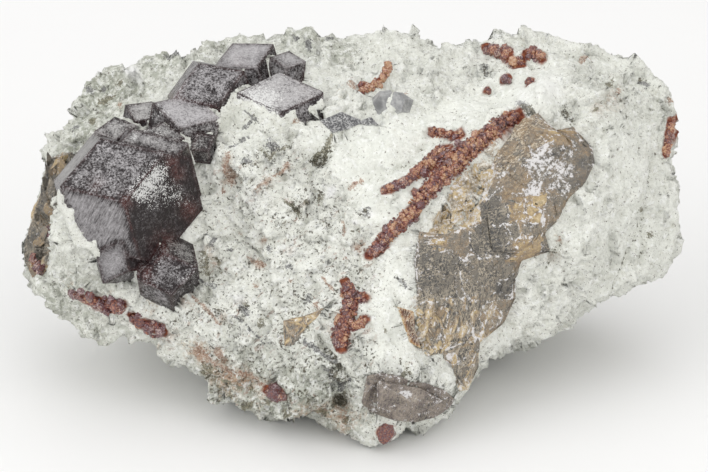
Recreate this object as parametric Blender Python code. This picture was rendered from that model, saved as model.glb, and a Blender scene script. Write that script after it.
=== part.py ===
"""Garnet in matrix: a piece of pale altered rock that carries dark garnet crystals,
strings of small red garnets and brown mica.

The stone is laid out as it is seen from its show side, a little from above. A place
is given as (across, up, toward) in millimetres: to the right, up the line of sight's
plane, and out to the viewer. The eye stands at a finite distance, so a place keeps
its spot in the view whatever its depth. The finished stone is in metres, +Z up, with
its flat foot at z = 0.
"""

from itertools import combinations
from math import acos, atan2, cos, exp, hypot, pi, radians, sin

import bmesh
import bpy
import numpy as np
from mathutils import Matrix, Quaternion, Vector, geometry, noise
from mathutils.bvhtree import BVHTree

METRE = 0.001
GAP = 0.3  # left between a crystal and the rock that holds it

SIGHT_TILT = radians(25.0)
SIGHT_REACH = 360.0
SIGHT_HEIGHT = 21.3

RIGHT = Vector((1.0, 0.0, 0.0))
UP = Vector((0.0, sin(SIGHT_TILT), cos(SIGHT_TILT)))
TOWARD = Vector((0.0, -cos(SIGHT_TILT), sin(SIGHT_TILT)))
CENTRE = Vector((0.0, 0.0, SIGHT_HEIGHT))
EYE = CENTRE + TOWARD * SIGHT_REACH

# Rock: the outline seen from the show side, from the foot's tip round by the left.
OUTLINE_CENTRE = (-0.5, 1.0)
OUTLINE = (
    (3.5, -28.0, 9.0), (1.0, -27.0, 8.5), (-1.5, -24.5, 7.0), (-4.5, -23.5, 5.0),
    (-8.0, -22.0, 3.0), (-9.0, -24.0, 2.0), (-14.0, -22.5, 2.5), (-19.0, -21.5, 3.0),
    (-18.5, -19.0, 3.5), (-23.5, -15.5, 3.0), (-26.5, -13.5, 2.0), (-31.0, -13.0, 1.5),
    (-35.0, -13.0, 0.5), (-37.0, -11.0, 0.0), (-39.5, -9.0, -0.5), (-42.0, -6.5, -1.5),
    (-43.0, -2.0, -3.0), (-41.5, 2.0, -5.0), (-40.0, 5.5, -7.0), (-40.0, 11.0, -9.0),
    (-38.0, 14.0, -11.0), (-36.0, 18.0, -12.0), (-34.0, 21.5, -13.0), (-30.5, 21.5, -13.0),
    (-29.0, 22.5, -13.0), (-25.0, 23.0, -13.0), (-20.5, 23.0, -13.0), (-19.0, 25.5, -12.5),
    (-17.0, 26.0, -12.0), (-13.0, 25.5, -12.0), (-9.0, 26.5, -12.0), (-3.5, 26.5, -12.0),
    (-1.0, 25.0, -11.5), (3.0, 26.0, -12.0), (7.5, 26.5, -12.0), (10.0, 24.5, -11.0),
    (12.0, 24.0, -11.0), (16.0, 26.0, -11.0), (27.0, 26.0, -11.0), (32.5, 24.5, -10.0),
    (37.0, 23.0, -9.5), (40.0, 20.5, -8.5), (42.0, 18.0, -8.0), (41.5, 15.0, -7.5),
    (42.0, 13.0, -7.0), (41.0, 10.0, -7.0), (41.5, 4.0, -6.5), (42.5, -0.5, -6.0),
    (41.5, -3.5, -5.0), (40.0, -5.0, -4.0), (35.0, -7.0, -1.0), (31.0, -8.5, 0.0),
    (27.5, -12.0, 1.0), (25.0, -13.0, 1.5), (21.0, -14.5, 2.5), (17.5, -16.0, 4.0),
    (16.5, -18.5, 5.5), (13.5, -21.0, 7.0), (13.0, -22.5, 7.0), (9.5, -24.5, 8.0),
    (5.5, -25.5, 9.0), (4.5, -27.5, 9.0),
)
# Places on the show side that give its relief, in rows from the crest to the foot.
RELIEF = (
    (-31.0, 19.5, -10.0), (-16.0, 21.5, -6.0), (-7.0, 24.0, -8.0), (1.0, 21.0, -2.5),
    (14.0, 23.5, -7.0), (22.0, 24.0, -7.0), (26.0, 21.5, -1.5), (33.0, 22.0, -6.0),
    (39.0, 17.5, -6.0),
    (-36.0, 16.5, -10.0), (-31.5, 16.5, -6.0), (-25.0, 16.5, -1.0), (-16.0, 15.0, 3.5),
    (-12.5, 15.0, 6.5), (-9.0, 14.5, 7.5), (-5.0, 15.5, 6.0),
    (6.0, 16.0, 3.0), (22.0, 17.0, 4.0), (34.5, 15.0, 2.5), (40.0, 14.0, -3.0),
    (-38.0, 12.0, -7.0), (-33.0, 11.0, -1.0), (-26.5, 11.0, 3.0), (-17.5, 11.0, 5.5),
    (-2.0, 11.0, 7.0), (12.5, 11.0, 8.0), (19.0, 11.0, 8.0), (33.5, 10.0, 5.0),
    (39.0, 8.5, -1.0),
    (-40.0, 4.5, -3.0), (-37.5, 3.5, 10.5), (-34.5, 4.5, 6.0), (-17.5, 4.5, 6.0),
    (-2.0, 4.5, 9.5),
    (11.0, 4.5, 10.5), (25.5, 3.5, 7.5), (39.0, 2.5, 0.0),
    (-42.0, -2.0, 2.0), (-37.0, 0.5, 14.0), (-34.5, -2.0, 12.0), (-39.5, -2.0, 8.5),
    (-33.5, -5.0, 9.0), (-30.0, -6.5, 8.5), (-38.5, -5.5, 7.0), (-19.0, -2.0, 7.5),
    (5.0, -2.0, 12.5), (10.0, -2.0, 12.5), (16.5, -2.0, 10.0), (31.0, -3.0, 5.0), (38.5, -2.5, -1.0),
    (-37.0, -8.5, 5.5), (-33.0, -9.5, 7.0), (-22.5, -8.0, 8.5), (-7.0, -8.0, 12.0),
    (7.5, -8.0, 14.0),
    (12.5, -8.0, 12.0), (19.0, -8.0, 8.0), (32.0, -7.0, 2.0),
    (-31.5, -12.0, 4.5), (-22.5, -14.0, 7.0), (-8.5, -15.0, 12.5), (6.0, -15.0, 14.5),
    (16.5, -14.0, 9.0),
    (21.5, -13.0, 5.0),
    (-16.0, -20.5, 7.0), (-3.0, -19.5, 13.5), (10.0, -19.5, 13.0), (-8.5, -23.0, 8.0),
    (4.5, -24.0, 12.0), (10.0, -23.5, 10.0),
)
# Lumps (rise > 0) and hollows (rise < 0) on the show side: across, up, radius, rise.
LUMPS = (
    (-5.5, -17.5, 3.5, 1.4),
    (-1.5, -21.5, 2.2, -2.2),
    (-9.0, -22.5, 2.6, 1.4),
    (28.0, 16.0, 2.0, -1.5),
    (25.0, 19.0, 2.6, 1.2),
    (-36.5, 9.5, 2.2, -1.8),
    (-4.0, 10.0, 2.2, -1.2),
    (12.0, 11.5, 2.4, -0.9),
    (34.0, 2.0, 4.0, 0.9),
    (-12.0, 6.0, 4.0, 0.8),
    (27.0, -7.0, 3.5, 0.9),
)
BACK_WALL = 26.0  # how far the upright back stands behind the middle
BACK_WALL_ENDS = 9.0  # how much nearer it stands at the stone's ends
HALF_LENGTH = 42.0
BACK_LUMP = 4.0
BACK_LUMP_SIZE = 13.0
SHOW_SIDE_FLATNESS = 6.0
BACK_FLATNESS = 4.0
STONE_FLATNESS = 0.45  # depth by length
FOOT_SPAN = (-12.0, 14.0)
FOOT_SINK = 2.2
UNDERSIDE_RISE = 13.0
UNDERSIDE_RUN = 28.0
THINNEST = 2.5  # from the outline to the front, and to the back
ROCK_SUBDIVISIONS = 5
ROCK_SHARE = 0.48  # of the sphere's triangles, kept where the surface bends most

FRACTURE_CELL = 7.0
FRACTURE_TILT = 0.16
FRACTURE_OFFSET = 0.25  # how unevenly the broken faces lie
FRACTURE_STEP = 0.8  # the most that they rise or sink
ROUGHNESS = ((9.0, 0.8), (4.0, 0.4))  # size of the lumps, height
RIM_CALM = 0.3  # how much of all that is left where the rock turns from view
OUTLINE_SETBACK = 0.25
FULL_RELIEF_EDGE = 1.5  # shorter edges carry less of the relief


# --- placing --------------------------------------------------------------------


def sighted(across, up, toward):
    """The point that is seen at (across, up), at a depth of toward."""
    nearing = (SIGHT_REACH - toward) / SIGHT_REACH
    return CENTRE + (RIGHT * across + UP * up) * nearing + TOWARD * toward


def sight_direction(x, y, z):
    """A direction given as right, up and toward the viewer."""
    return (RIGHT * x + UP * y + TOWARD * z).normalized()


def toward_of(point):
    """How far a point is toward the viewer."""
    return (point - CENTRE).dot(TOWARD)


def smooth_step(value):
    """0 to 1 with a soft start and end."""
    t = min(max(value, 0.0), 1.0)
    return t * t * (3.0 - 2.0 * t)


# --- objects --------------------------------------------------------------------


def material(name, colour, roughness):
    """A Principled material."""
    made = bpy.data.materials.new(name)
    made.use_nodes = True
    shader = made.node_tree.nodes["Principled BSDF"]
    shader.inputs["Base Color"].default_value = (*colour, 1.0)
    shader.inputs["Roughness"].default_value = roughness
    return made


def add_object(name, bm, surface=None):
    """Writes a closed bmesh, in millimetres, as an object in metres."""
    bmesh.ops.recalc_face_normals(bm, faces=bm.faces)
    bmesh.ops.scale(bm, vec=(METRE, METRE, METRE), verts=bm.verts)
    mesh = bpy.data.meshes.new(name)
    bm.to_mesh(mesh)
    bm.free()
    if surface:
        mesh.materials.append(surface)
    made = bpy.data.objects.new(name, mesh)
    bpy.context.collection.objects.link(made)
    return made


def applied(target):
    """The object's mesh with its modifiers applied."""
    depsgraph = bpy.context.evaluated_depsgraph_get()
    return bpy.data.meshes.new_from_object(target.evaluated_get(depsgraph))


def keep_largest_body(target):
    """Drops the splinters that a cut leaves beside the main body."""
    bm = bmesh.new()
    bm.from_mesh(target.data)
    bodies = []
    unseen = set(bm.verts)
    while unseen:
        body, edge_of_search = set(), [unseen.pop()]
        while edge_of_search:
            vert = edge_of_search.pop()
            body.add(vert)
            for edge in vert.link_edges:
                other = edge.other_vert(vert)
                if other in unseen:
                    unseen.remove(other)
                    edge_of_search.append(other)
        bodies.append(body)
    bodies.sort(key=len)
    for body in bodies[:-1]:
        bmesh.ops.delete(bm, geom=list(body), context="VERTS")
    bm.to_mesh(target.data)
    bm.free()


def combine(target, others, operation):
    """Joins the others to the target, or cuts them from it, and removes them."""
    for other in others:
        modifier = target.modifiers.new(operation, "BOOLEAN")
        modifier.operation = operation
        modifier.solver = "EXACT"
        modifier.object = other
    target.data = applied(target)
    target.modifiers.clear()
    for other in others:
        bpy.data.objects.remove(other)


# --- the rock ---------------------------------------------------------------------


def thin_plate(places):
    """A smooth surface through (across, up, toward) places."""
    spots = np.array([place[:2] for place in places])
    depths = np.array([place[2] for place in places])
    count = len(places)

    def bend(distance):
        return np.where(distance > 0, distance**2 * np.log(np.maximum(distance, 1e-9)), 0.0)

    apart = np.linalg.norm(spots[:, None] - spots[None], axis=2)
    flat = np.column_stack([np.ones(count), spots])
    system = np.zeros((count + 3, count + 3))
    system[:count, :count] = bend(apart) + np.eye(count) * 2.0
    system[:count, count:] = flat
    system[count:, :count] = flat.T
    weights = np.linalg.solve(system, np.append(depths, np.zeros(3)))

    def surface(across, up):
        distances = np.hypot(spots[:, 0] - across, spots[:, 1] - up)
        return float(bend(distances) @ weights[:count] + weights[count:] @ (1.0, across, up))

    return surface


def outline_at(angle, angles, reaches, depths):
    """The outline's reach from its centre, and its depth, at an angle."""
    return (
        float(np.interp(angle, angles, reaches, period=2 * pi)),
        float(np.interp(angle, angles, depths, period=2 * pi)),
    )


def rounded_section(flatness, steps=400):
    """A quarter of a superellipse at even steps of its length: (from centre, height).

    Its height counts for less than its width, as the stone is flatter than it is long.
    """
    turn = np.linspace(0.0, pi / 2, steps)
    outward = np.sin(turn) ** (2 / flatness)
    height = np.cos(turn) ** (2 / flatness)
    rise = STONE_FLATNESS * np.diff(height)
    length = np.append(0.0, np.cumsum(np.hypot(np.diff(outward), rise)))
    length /= length[-1]

    def section(part):
        return np.interp(part, length, outward), np.interp(part, length, height)

    return section


def underside(across, up):
    """The depth at which the sight line leaves through the stone's underside."""
    left, right = FOOT_SPAN
    beyond = max(left - across, across - right, 0.0)
    height = UNDERSIDE_RISE * smooth_step(beyond / UNDERSIDE_RUN) - FOOT_SINK
    return (height - SIGHT_HEIGHT - up * UP.z) / TOWARD.z


def back_wall(across, up):
    """The depth of the upright back, which curves in toward the stone's ends."""
    behind = BACK_WALL - BACK_WALL_ENDS * (across / HALF_LENGTH) ** 2
    return (up * UP.y - behind) / -TOWARD.y


def lumps_at(across, up):
    """The hand-placed lumps and hollows."""
    return sum(
        rise * exp(-(((across - x) ** 2 + (up - y) ** 2) / radius**2))
        for x, y, radius, rise in LUMPS
    )


def fracture(points, seed):
    """Steps and tilts of the flat faces that broken rock shows."""
    draw = np.random.default_rng(seed)
    seeds = []
    for index in draw.permutation(len(points)):
        point = points[index]
        if all((point - other).length > FRACTURE_CELL * 0.75 for other in seeds):
            seeds.append(point)
    tilts = [Vector(draw.normal(0.0, FRACTURE_TILT, 3)) for _ in seeds]
    steps = draw.normal(0.0, FRACTURE_OFFSET, len(seeds))
    rises = []
    for point in points:
        nearest = min(range(len(seeds)), key=lambda i: (point - seeds[i]).length_squared)
        rise = tilts[nearest].dot(point - seeds[nearest]) + steps[nearest]
        rises.append(min(max(rise, -FRACTURE_STEP), FRACTURE_STEP))
    return rises


def thinned(bm, share):
    """The same surface with a share of its triangles, fewest where it is flattest."""
    rough = add_object("thinned", bm)
    modifier = rough.modifiers.new("thinned", "DECIMATE")
    modifier.ratio = share
    mesh = applied(rough)
    bpy.data.objects.remove(rough)
    made = bmesh.new()
    made.from_mesh(mesh)
    bmesh.ops.scale(made, vec=(1 / METRE,) * 3, verts=made.verts)
    return made


def unfold(bm, rounds=30):
    """Smooths the places where the surface runs through itself."""
    for _ in range(rounds):
        bm.faces.ensure_lookup_table()
        tree = BVHTree.FromBMesh(bm)
        folded = set()
        for a, b in tree.overlap(tree):
            ends = set(bm.faces[a].verts), set(bm.faces[b].verts)
            if not ends[0] & ends[1]:
                folded |= ends[0] | ends[1]
        if not folded:
            break
        bmesh.ops.smooth_vert(
            bm, verts=sorted(folded, key=lambda vert: vert.index), factor=0.5,
            use_axis_x=True, use_axis_y=True, use_axis_z=True,
        )


def rock_mesh():
    """The rock before anything is set into it."""
    x0, y0 = OUTLINE_CENTRE
    ring = sorted(
        (atan2(up - y0, across - x0), hypot(across - x0, up - y0), toward)
        for across, up, toward in OUTLINE
    )
    angles, reaches, depths = zip(*ring)
    relief = thin_plate(RELIEF)
    show_section = rounded_section(SHOW_SIDE_FLATNESS)
    back_section = rounded_section(BACK_FLATNESS)

    bm = bmesh.new()
    bmesh.ops.create_icosphere(bm, subdivisions=ROCK_SUBDIVISIONS, radius=1.0)
    calms = [RIM_CALM + (1.0 - RIM_CALM) * smooth_step(abs(vert.co.z) / 0.4) for vert in bm.verts]
    for vert in bm.verts:
        x, y, z = vert.co
        reach, rim = outline_at(atan2(y, x), angles, reaches, depths)
        part = acos(min(abs(z), 1.0)) / (pi / 2)
        outward, height = (show_section if z > 0 else back_section)(part)
        span = hypot(x, y) or 1.0
        across = x0 + x / span * reach * outward
        up = y0 + y / span * reach * outward
        if z > 0:
            toward = rim + max(relief(across, up) - rim, THINNEST) * height
            toward += lumps_at(across, up) * height
        else:
            lump = BACK_LUMP * noise.noise(sighted(across, up, BACK_WALL) / BACK_LUMP_SIZE)
            behind = max(back_wall(across, up) + lump, underside(across, up) + lump)
            toward = rim - max(rim - behind, THINNEST) * height
        vert.co = sighted(across, up, toward)

    bm.normal_update()
    normals = [vert.normal.copy() for vert in bm.verts]
    rises = fracture([vert.co.copy() for vert in bm.verts], seed=11)
    for vert, normal, calm, rise in zip(bm.verts, normals, calms, rises):
        for size, height in ROUGHNESS:
            rise += height * noise.noise(vert.co / size)
        shortest = min(edge.calc_length() for edge in vert.link_edges)
        calm = min(calm, shortest / FULL_RELIEF_EDGE)
        vert.co += normal * (rise * calm - OUTLINE_SETBACK)
    bm = thinned(bm, ROCK_SHARE)
    unfold(bm)
    for vert in bm.verts:
        vert.co.z = max(vert.co.z, 0.0)
    return bm


class ShowSide:
    """Finds the rock's surface on the show side."""

    def __init__(self, bm):
        self.tree = BVHTree.FromBMesh(bm)

    def toward(self, across, up):
        """The rock's depth at (across, up), or just inside its outline."""
        for inward in np.arange(1.0, 0.8, -0.02):
            aim = sighted(across * inward, up * inward, 0.0) - EYE
            hit = self.tree.ray_cast(EYE, aim)[0]
            if hit:
                return toward_of(hit)
        raise ValueError(f"no rock at {across}, {up}")


# --- crystals ---------------------------------------------------------------------


def dodecahedron_directions():
    """The twelve faces of a garnet: a rhombic dodecahedron."""
    return [
        Vector(ends).normalized()
        for a in (-1, 1)
        for b in (-1, 1)
        for ends in ((a, b, 0), (a, 0, b), (0, a, b))
    ]


def flat_faced_solid(centre, faces):
    """The closed solid that lies inside all of its faces (direction, distance)."""
    corners = []
    for (a, da), (b, db), (c, dc) in combinations(faces, 3):
        volume = a.dot(b.cross(c))
        if abs(volume) < 0.01:
            continue
        corner = (b.cross(c) * da + c.cross(a) * db + a.cross(b) * dc) / volume
        if all(corner.dot(direction) < distance + 1e-4 for direction, distance in faces):
            corners.append(corner)
    bm = bmesh.new()
    for corner in corners:
        bm.verts.new(centre + corner)
    bmesh.ops.remove_doubles(bm, verts=bm.verts, dist=0.002)
    bmesh.ops.convex_hull(bm, input=bm.verts)
    bmesh.ops.dissolve_limit(bm, angle_limit=radians(0.5), verts=bm.verts, edges=bm.edges)
    return bm


def garnet_solid(middle, facing, spin, reach, pushed=(), grow=0.0):
    """A garnet with one of its faces toward facing, at a distance of reach.

    That face's long diagonal is level at a spin of 0, and turns from there like a
    clock's hand run backwards. Pushed faces grew further out.
    """
    shown = Vector(facing).normalized()
    level = Vector((0.0, 1.0, 0.0)).cross(shown).normalized()
    diagonal = Quaternion(shown, radians(spin)) @ level
    axes = Matrix((shown, diagonal, shown.cross(diagonal))).transposed()
    own_axes = Matrix(((1.0, 0.0, 1.0), (1.0, 0.0, -1.0), (0.0, 2**0.5, 0.0))) * 0.5**0.5
    faces = []
    for direction in dodecahedron_directions():
        looks = axes @ (own_axes @ direction)
        extra = sum(more for side, more in pushed if looks.dot(Vector(side)) > 0.93)
        faces.append((sight_direction(*looks), reach + grow + extra))
    return flat_faced_solid(middle, faces)


# The large crystals: the middle of the face shown, the way it looks, spin, reach from
# the crystal's middle to its faces, and the faces that grew further out.
LARGE_GARNETS = (
    # The main crystal.
    ((-31.4, 8.6, 13.4), (0.0, 0.46, 0.89), 20.0, 6.9,
     (((0.94, 0.31, -0.15), 3.2), ((0.72, -0.66, -0.21), 2.4))),
    # Its twin, just behind.
    ((-27.6, 10.2, 10.6), (0.0, 0.46, 0.89), 20.0, 6.2, ()),
    # Left and right of the gap above the twin.
    ((-31.0, 14.0, 6.0), (-0.1, 0.6, 0.8), 10.0, 2.8, ()),
    ((-25.0, 13.2, 7.8), (0.05, 0.65, 0.75), -10.0, 3.0, ()),
    # The pale-topped crystal and its left shoulder.
    ((-21.8, 16.3, 5.4), (0.1, 0.66, 0.74), -17.0, 4.5, ()),
    ((-27.4, 16.2, 3.0), (-0.1, 0.65, 0.75), -25.0, 2.8, ()),
    # A small rough one at its right foot.
    ((-19.6, 12.2, 7.2), (0.3, 0.3, 0.9), 30.0, 1.9, ()),
    # The dark one above, and those behind it.
    ((-18.9, 19.7, 3.4), (-0.05, 0.45, 0.89), 24.0, 5.0, ()),
    ((-14.2, 23.5, -2.6), (0.0, 0.75, 0.66), 33.0, 4.4, ()),
    ((-8.6, 23.0, -2.4), (0.1, 0.7, 0.7), -10.0, 2.4, ()),
    # The dusted one on the right.
    ((-9.6, 18.7, 3.6), (0.02, 0.72, 0.69), 1.0, 5.6, ()),
    # The two below the main crystal.
    ((-31.4, -3.4, 10.9), (-0.25, -0.35, 0.9), 60.0, 3.4, ()),
    ((-24.2, -4.9, 10.8), (0.1, -0.1, 0.98), 10.0, 3.9, ()),
)


def garnet_cluster(name, grow=0.0):
    """The large crystals, grown together into one mass."""
    solids = []
    for face_middle, facing, spin, reach, pushed in LARGE_GARNETS:
        middle = sighted(*face_middle) - sight_direction(*facing) * reach
        solids.append(add_object(name, garnet_solid(middle, facing, spin, reach, pushed, grow)))
    combine(solids[0], solids[1:], "UNION")
    return solids[0]


# --- strings and crusts of small garnets --------------------------------------------


def along(rock, path, step):
    """Places on the rock, evenly apart in depth too, along (across, up) points."""
    corners = np.array(path, dtype=float)
    runs = np.append(0.0, np.cumsum(np.linalg.norm(np.diff(corners, axis=0), axis=1)))
    fine = np.linspace(0.0, runs[-1], int(runs[-1] / 0.2) + 1)
    across = np.interp(fine, runs, corners[:, 0])
    up = np.interp(fine, runs, corners[:, 1])
    points = np.array([sighted(x, y, rock.toward(x, y)) for x, y in zip(across, up)])
    lengths = np.append(0.0, np.cumsum(np.linalg.norm(np.diff(points, axis=0), axis=1)))
    for length in np.linspace(0.0, lengths[-1], int(round(lengths[-1] / step)) + 1):
        yield (
            float(np.interp(length, lengths, across)),
            float(np.interp(length, lengths, up)),
        )


GRAIN_HOLD = 1.5  # the furthest that grains stand apart, as a share of their reach


def grain_crust(name, rock, paths, reach, step, scatter, seed, lift=-0.6, grow=0.0):
    """Small garnets along some paths on the rock, grown together into one crust.

    A grain's middle is lifted off the rock by a share of its reach.
    """
    draw = np.random.default_rng(seed)
    solids = []
    for path in paths:
        before = None
        for across, up in along(rock, path, step):
            x = across + draw.normal(0.0, scatter)
            y = up + draw.normal(0.0, scatter)
            size = reach * draw.uniform(0.85, 1.2)
            middle = sighted(x, y, rock.toward(x, y) + lift * size)
            if before and (middle - before).length > GRAIN_HOLD * reach:
                middle = before + (middle - before).normalized() * GRAIN_HOLD * reach
            before = middle
            facing = (draw.normal(0.0, 0.5), draw.normal(0.3, 0.4), 1.0)
            grain = garnet_solid(middle, facing, draw.uniform(0.0, 180.0), size, grow=grow)
            solids.append(add_object(name, grain))
    if len(solids) > 1:
        combine(solids[0], solids[1:], "UNION")
    return solids[0]


CRUSTS = {
    "garnet_crust_long": dict(
        paths=(
            ((19.3, 16.0), (18.0, 14.6), (16.0, 12.2), (14.0, 10.5), (13.0, 9.0),
             (11.0, 7.5), (9.5, 5.5), (8.0, 3.5), (6.0, 1.5), (4.0, 0.0), (3.0, -2.0),
             (2.5, -3.5)),
            ((12.8, 9.6), (11.0, 10.2), (8.5, 8.5), (6.5, 7.0), (4.0, 6.0)),
        ),
        reach=1.1, step=1.5, scatter=0.3, seed=3,
    ),
    "garnet_crust_islet": dict(
        paths=(((10.4, 14.0), (12.3, 13.6)),), reach=0.7, step=0.8, scatter=0.1, seed=4,
    ),
    "garnet_crust_upper": dict(
        paths=(((4.5, 22.3), (4.2, 20.8), (2.4, 19.2), (1.2, 18.6)),),
        reach=0.8, step=1.0, scatter=0.15, seed=5,
    ),
    "garnet_crust_low": dict(
        paths=(
            ((-1.5, -6.0), (-0.5, -8.3), (-1.2, -10.5), (-1.5, -13.0), (-1.8, -14.7)),
            ((-1.2, -11.6), (0.6, -11.8)),
        ),
        reach=1.05, step=1.4, scatter=0.2, seed=6,
    ),
    "garnet_crust_summit": dict(
        paths=(((17.5, 24.2), (19.5, 24.0), (21.0, 22.8), (23.0, 23.4), (24.5, 23.8)),),
        reach=1.0, step=1.4, scatter=0.2, seed=7,
    ),
    "garnet_band_left": dict(
        paths=(((-36.6, -7.3), (-34.0, -8.4), (-32.4, -9.2), (-30.4, -8.7)),),
        reach=1.0, step=1.3, scatter=0.15, seed=8,
    ),
    "garnet_band_middle": dict(
        paths=(((-28.2, -11.4), (-26.4, -12.0), (-24.4, -12.6)),),
        reach=0.95, step=1.2, scatter=0.15, seed=9,
    ),
    "garnet_foot_left": dict(
        paths=(((-11.0, -20.4), (-9.4, -20.8)),), reach=1.2, step=1.5, scatter=0.1, seed=10,
    ),
    "garnet_patch_right": dict(
        paths=(((40.6, 14.6), (40.2, 12.6), (40.0, 10.6)),),
        reach=0.9, step=1.1, scatter=0.1, seed=12,
    ),
    "garnet_tip_foot": dict(
        paths=(((4.0, -25.4),),), reach=1.2, step=1.0, scatter=0.0, seed=13, lift=-0.3,
    ),
    "garnet_grain_lilac": dict(
        paths=(((19.6, 20.2),),), reach=1.1, step=1.0, scatter=0.0, seed=14,
    ),
    "garnet_grain_brown": dict(
        paths=(((17.2, 18.8),),), reach=0.9, step=1.0, scatter=0.0, seed=15,
    ),
    "garnet_grain_red": dict(
        paths=(((22.9, 20.0),),), reach=0.9, step=1.0, scatter=0.0, seed=16,
    ),
    "garnet_pair_grey": dict(
        paths=(((4.0, 17.3), (5.8, 17.0)),), reach=1.3, step=1.8, scatter=0.0, seed=17,
        lift=-0.1,
    ),
}


# --- mica and flat pieces -------------------------------------------------------------


def offset_outline(outline, distance):
    """An outline moved outward by a distance, corners mitred."""
    points = [Vector(point) for point in outline]
    area = sum(a.x * b.y - b.x * a.y for a, b in zip(points, points[1:] + points[:1]))
    side = distance if area > 0 else -distance
    moved = []
    for i, point in enumerate(points):
        before = (point - points[i - 1]).normalized()
        after = (points[(i + 1) % len(points)] - point).normalized()
        normal_before = Vector((before.y, -before.x))
        normal_after = Vector((after.y, -after.x))
        mitre = (normal_before + normal_after).normalized()
        stretch = max(mitre.dot(normal_after), 0.5)
        moved.append(tuple(point + mitre * side / stretch))
    return moved


def draped_slab(outline, top, bottom, grow=0.0, spacing=3.0):
    """A slab between two depth functions of (across, up), with the outline as its edge.

    With grow its edge moves outward, and its depths stay those of the plain slab.
    """
    corners = [Vector(point) for point in outline]
    count = len(corners)
    xs = [corner.x for corner in corners]
    ys = [corner.y for corner in corners]
    inner = []
    for x in np.arange(min(xs) + spacing / 2, max(xs), spacing):
        for y in np.arange(min(ys) + spacing / 2, max(ys), spacing):
            spot = Vector((x, y))
            clear = min(
                (spot - geometry.intersect_point_line(spot, a, b)[0].to_2d()).length
                for a, b in zip(corners, corners[1:] + corners[:1])
            )
            if clear > spacing * 0.4:
                inner.append(spot)
    edges = [(i, (i + 1) % count) for i in range(count)]
    spots, _, faces, sources, _, _ = geometry.delaunay_2d_cdt(
        corners + inner, edges, [list(range(count))], 1, 1e-4
    )
    moved = offset_outline(outline, grow)
    bm = bmesh.new()
    upper, lower = [], []
    for spot, source in zip(spots, sources):
        corner = min(source)
        across, up = moved[corner] if corner < count else spot
        upper.append(bm.verts.new(sighted(across, up, top(*spot))))
        lower.append(bm.verts.new(sighted(across, up, bottom(*spot))))
    for face in faces:
        bm.faces.new([upper[i] for i in face])
        bm.faces.new([lower[i] for i in reversed(face)])
    places = {vert: i for i, vert in enumerate(upper)}
    for edge in [edge for edge in bm.edges if edge.is_boundary and edge.verts[0] in places]:
        a, b = (places[vert] for vert in edge.verts)
        bm.faces.new((upper[a], upper[b], lower[b], lower[a]))
    loose = [vert for vert in bm.verts if not vert.link_faces]
    bmesh.ops.delete(bm, geom=loose, context="VERTS")
    return bm


POCKET_HEADROOM = 8.0
POCKET_ROOM = 0.9  # under a book, whose slab is steep in places
SHEET = 0.35  # a sheet's rise above its book
SHEET_ROOT = 0.6
BOOK_FACE_SHARE = 0.92
BOOKS = {
    "mica_book_large": dict(
        outline=(
            (22.0, 15.3), (24.0, 16.0), (26.0, 13.7), (28.5, 14.2), (31.0, 11.5),
            (31.3, 9.5), (30.0, 6.8), (28.0, 5.0), (26.5, 2.0), (24.8, 0.4),
            (25.5, -2.0), (21.8, -3.2), (21.0, -5.5), (21.0, -8.0), (19.5, -11.3),
            (16.2, -14.0), (16.2, -17.0), (14.8, -20.0), (13.6, -20.2), (12.9, -17.4),
            (11.2, -15.4), (10.0, -15.4), (8.8, -11.8), (8.2, -7.7), (7.8, -3.0),
            (8.5, 0.6), (12.0, 0.2), (14.0, 1.2), (16.5, 4.8), (17.6, 8.0), (18.4, 10.5),
        ),
        thickness=2.2,
        lift=0.25,
        sheets=(
            ((21.0, 14.5), (27.5, 12.8), (30.0, 9.5), (27.5, 6.0), (21.5, 6.8), (19.0, 9.5)),
            ((19.5, 5.5), (25.5, 3.6), (24.0, 0.5), (22.5, -2.4), (18.0, -2.0), (17.3, 3.0)),
            ((9.0, -1.2), (13.5, -1.0), (19.5, -6.5), (17.5, -10.5), (12.0, -13.8),
             (9.6, -8.0)),
        ),
    ),
    "mica_flake_amber": dict(
        outline=((5.6, -9.2), (7.8, -9.8), (7.9, -12.0), (8.7, -14.6), (7.2, -13.8),
                 (6.4, -11.4)),
        thickness=1.2,
        lift=0.3,
        sheets=(),
    ),
    "mica_book_low": dict(
        outline=(
            (1.7, -18.2), (3.4, -17.8), (6.0, -18.2), (7.4, -19.0), (9.6, -19.2),
            (11.8, -20.1), (13.0, -21.2), (12.4, -22.3), (10.5, -23.6), (8.0, -24.2),
            (5.3, -24.0), (2.0, -22.8), (1.0, -21.6),
        ),
        thickness=1.6,
        lift=0.25,
        sheets=(((3.0, -18.8), (8.6, -19.8), (11.6, -21.4), (8.0, -23.2), (3.0, -22.4)),),
    ),
    "mica_blade": dict(
        outline=((-9.2, -11.0), (-6.5, -10.4), (-3.9, -9.4), (-4.9, -10.7), (-6.2, -11.8),
                 (-7.8, -14.2), (-9.0, -14.3)),
        thickness=1.2,
        lift=0.35,
        sheets=(),
    ),
    "garnet_sliver_grey": dict(
        outline=((-4.4, 15.0), (-1.7, 16.1), (0.9, 15.0), (2.2, 15.5), (3.3, 14.3),
                 (0.5, 14.5), (-0.6, 13.9), (-2.8, 13.4)),
        thickness=1.4,
        lift=0.5,
        sheets=(),
    ),
}
RIM_BOOK = dict(
    outline=(
        (-39.8, 10.0), (-36.2, 11.0), (-36.8, 8.6), (-37.5, 6.0), (-37.6, 4.0),
        (-38.6, 2.5), (-38.4, 0.0), (-39.4, -2.0), (-39.8, -4.0), (-41.2, -6.0),
        (-42.8, -3.5), (-42.9, -1.0), (-41.8, 2.0), (-40.6, 6.0),
    ),
    thickness=2.4,
    lift=0.0,
    sheets=(((-38.9, 9.6), (-36.9, 10.2), (-37.9, 6.0), (-38.6, 4.2), (-40.2, 5.0)),),
)
RIM_BOOK_RISE = 6.0


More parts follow.
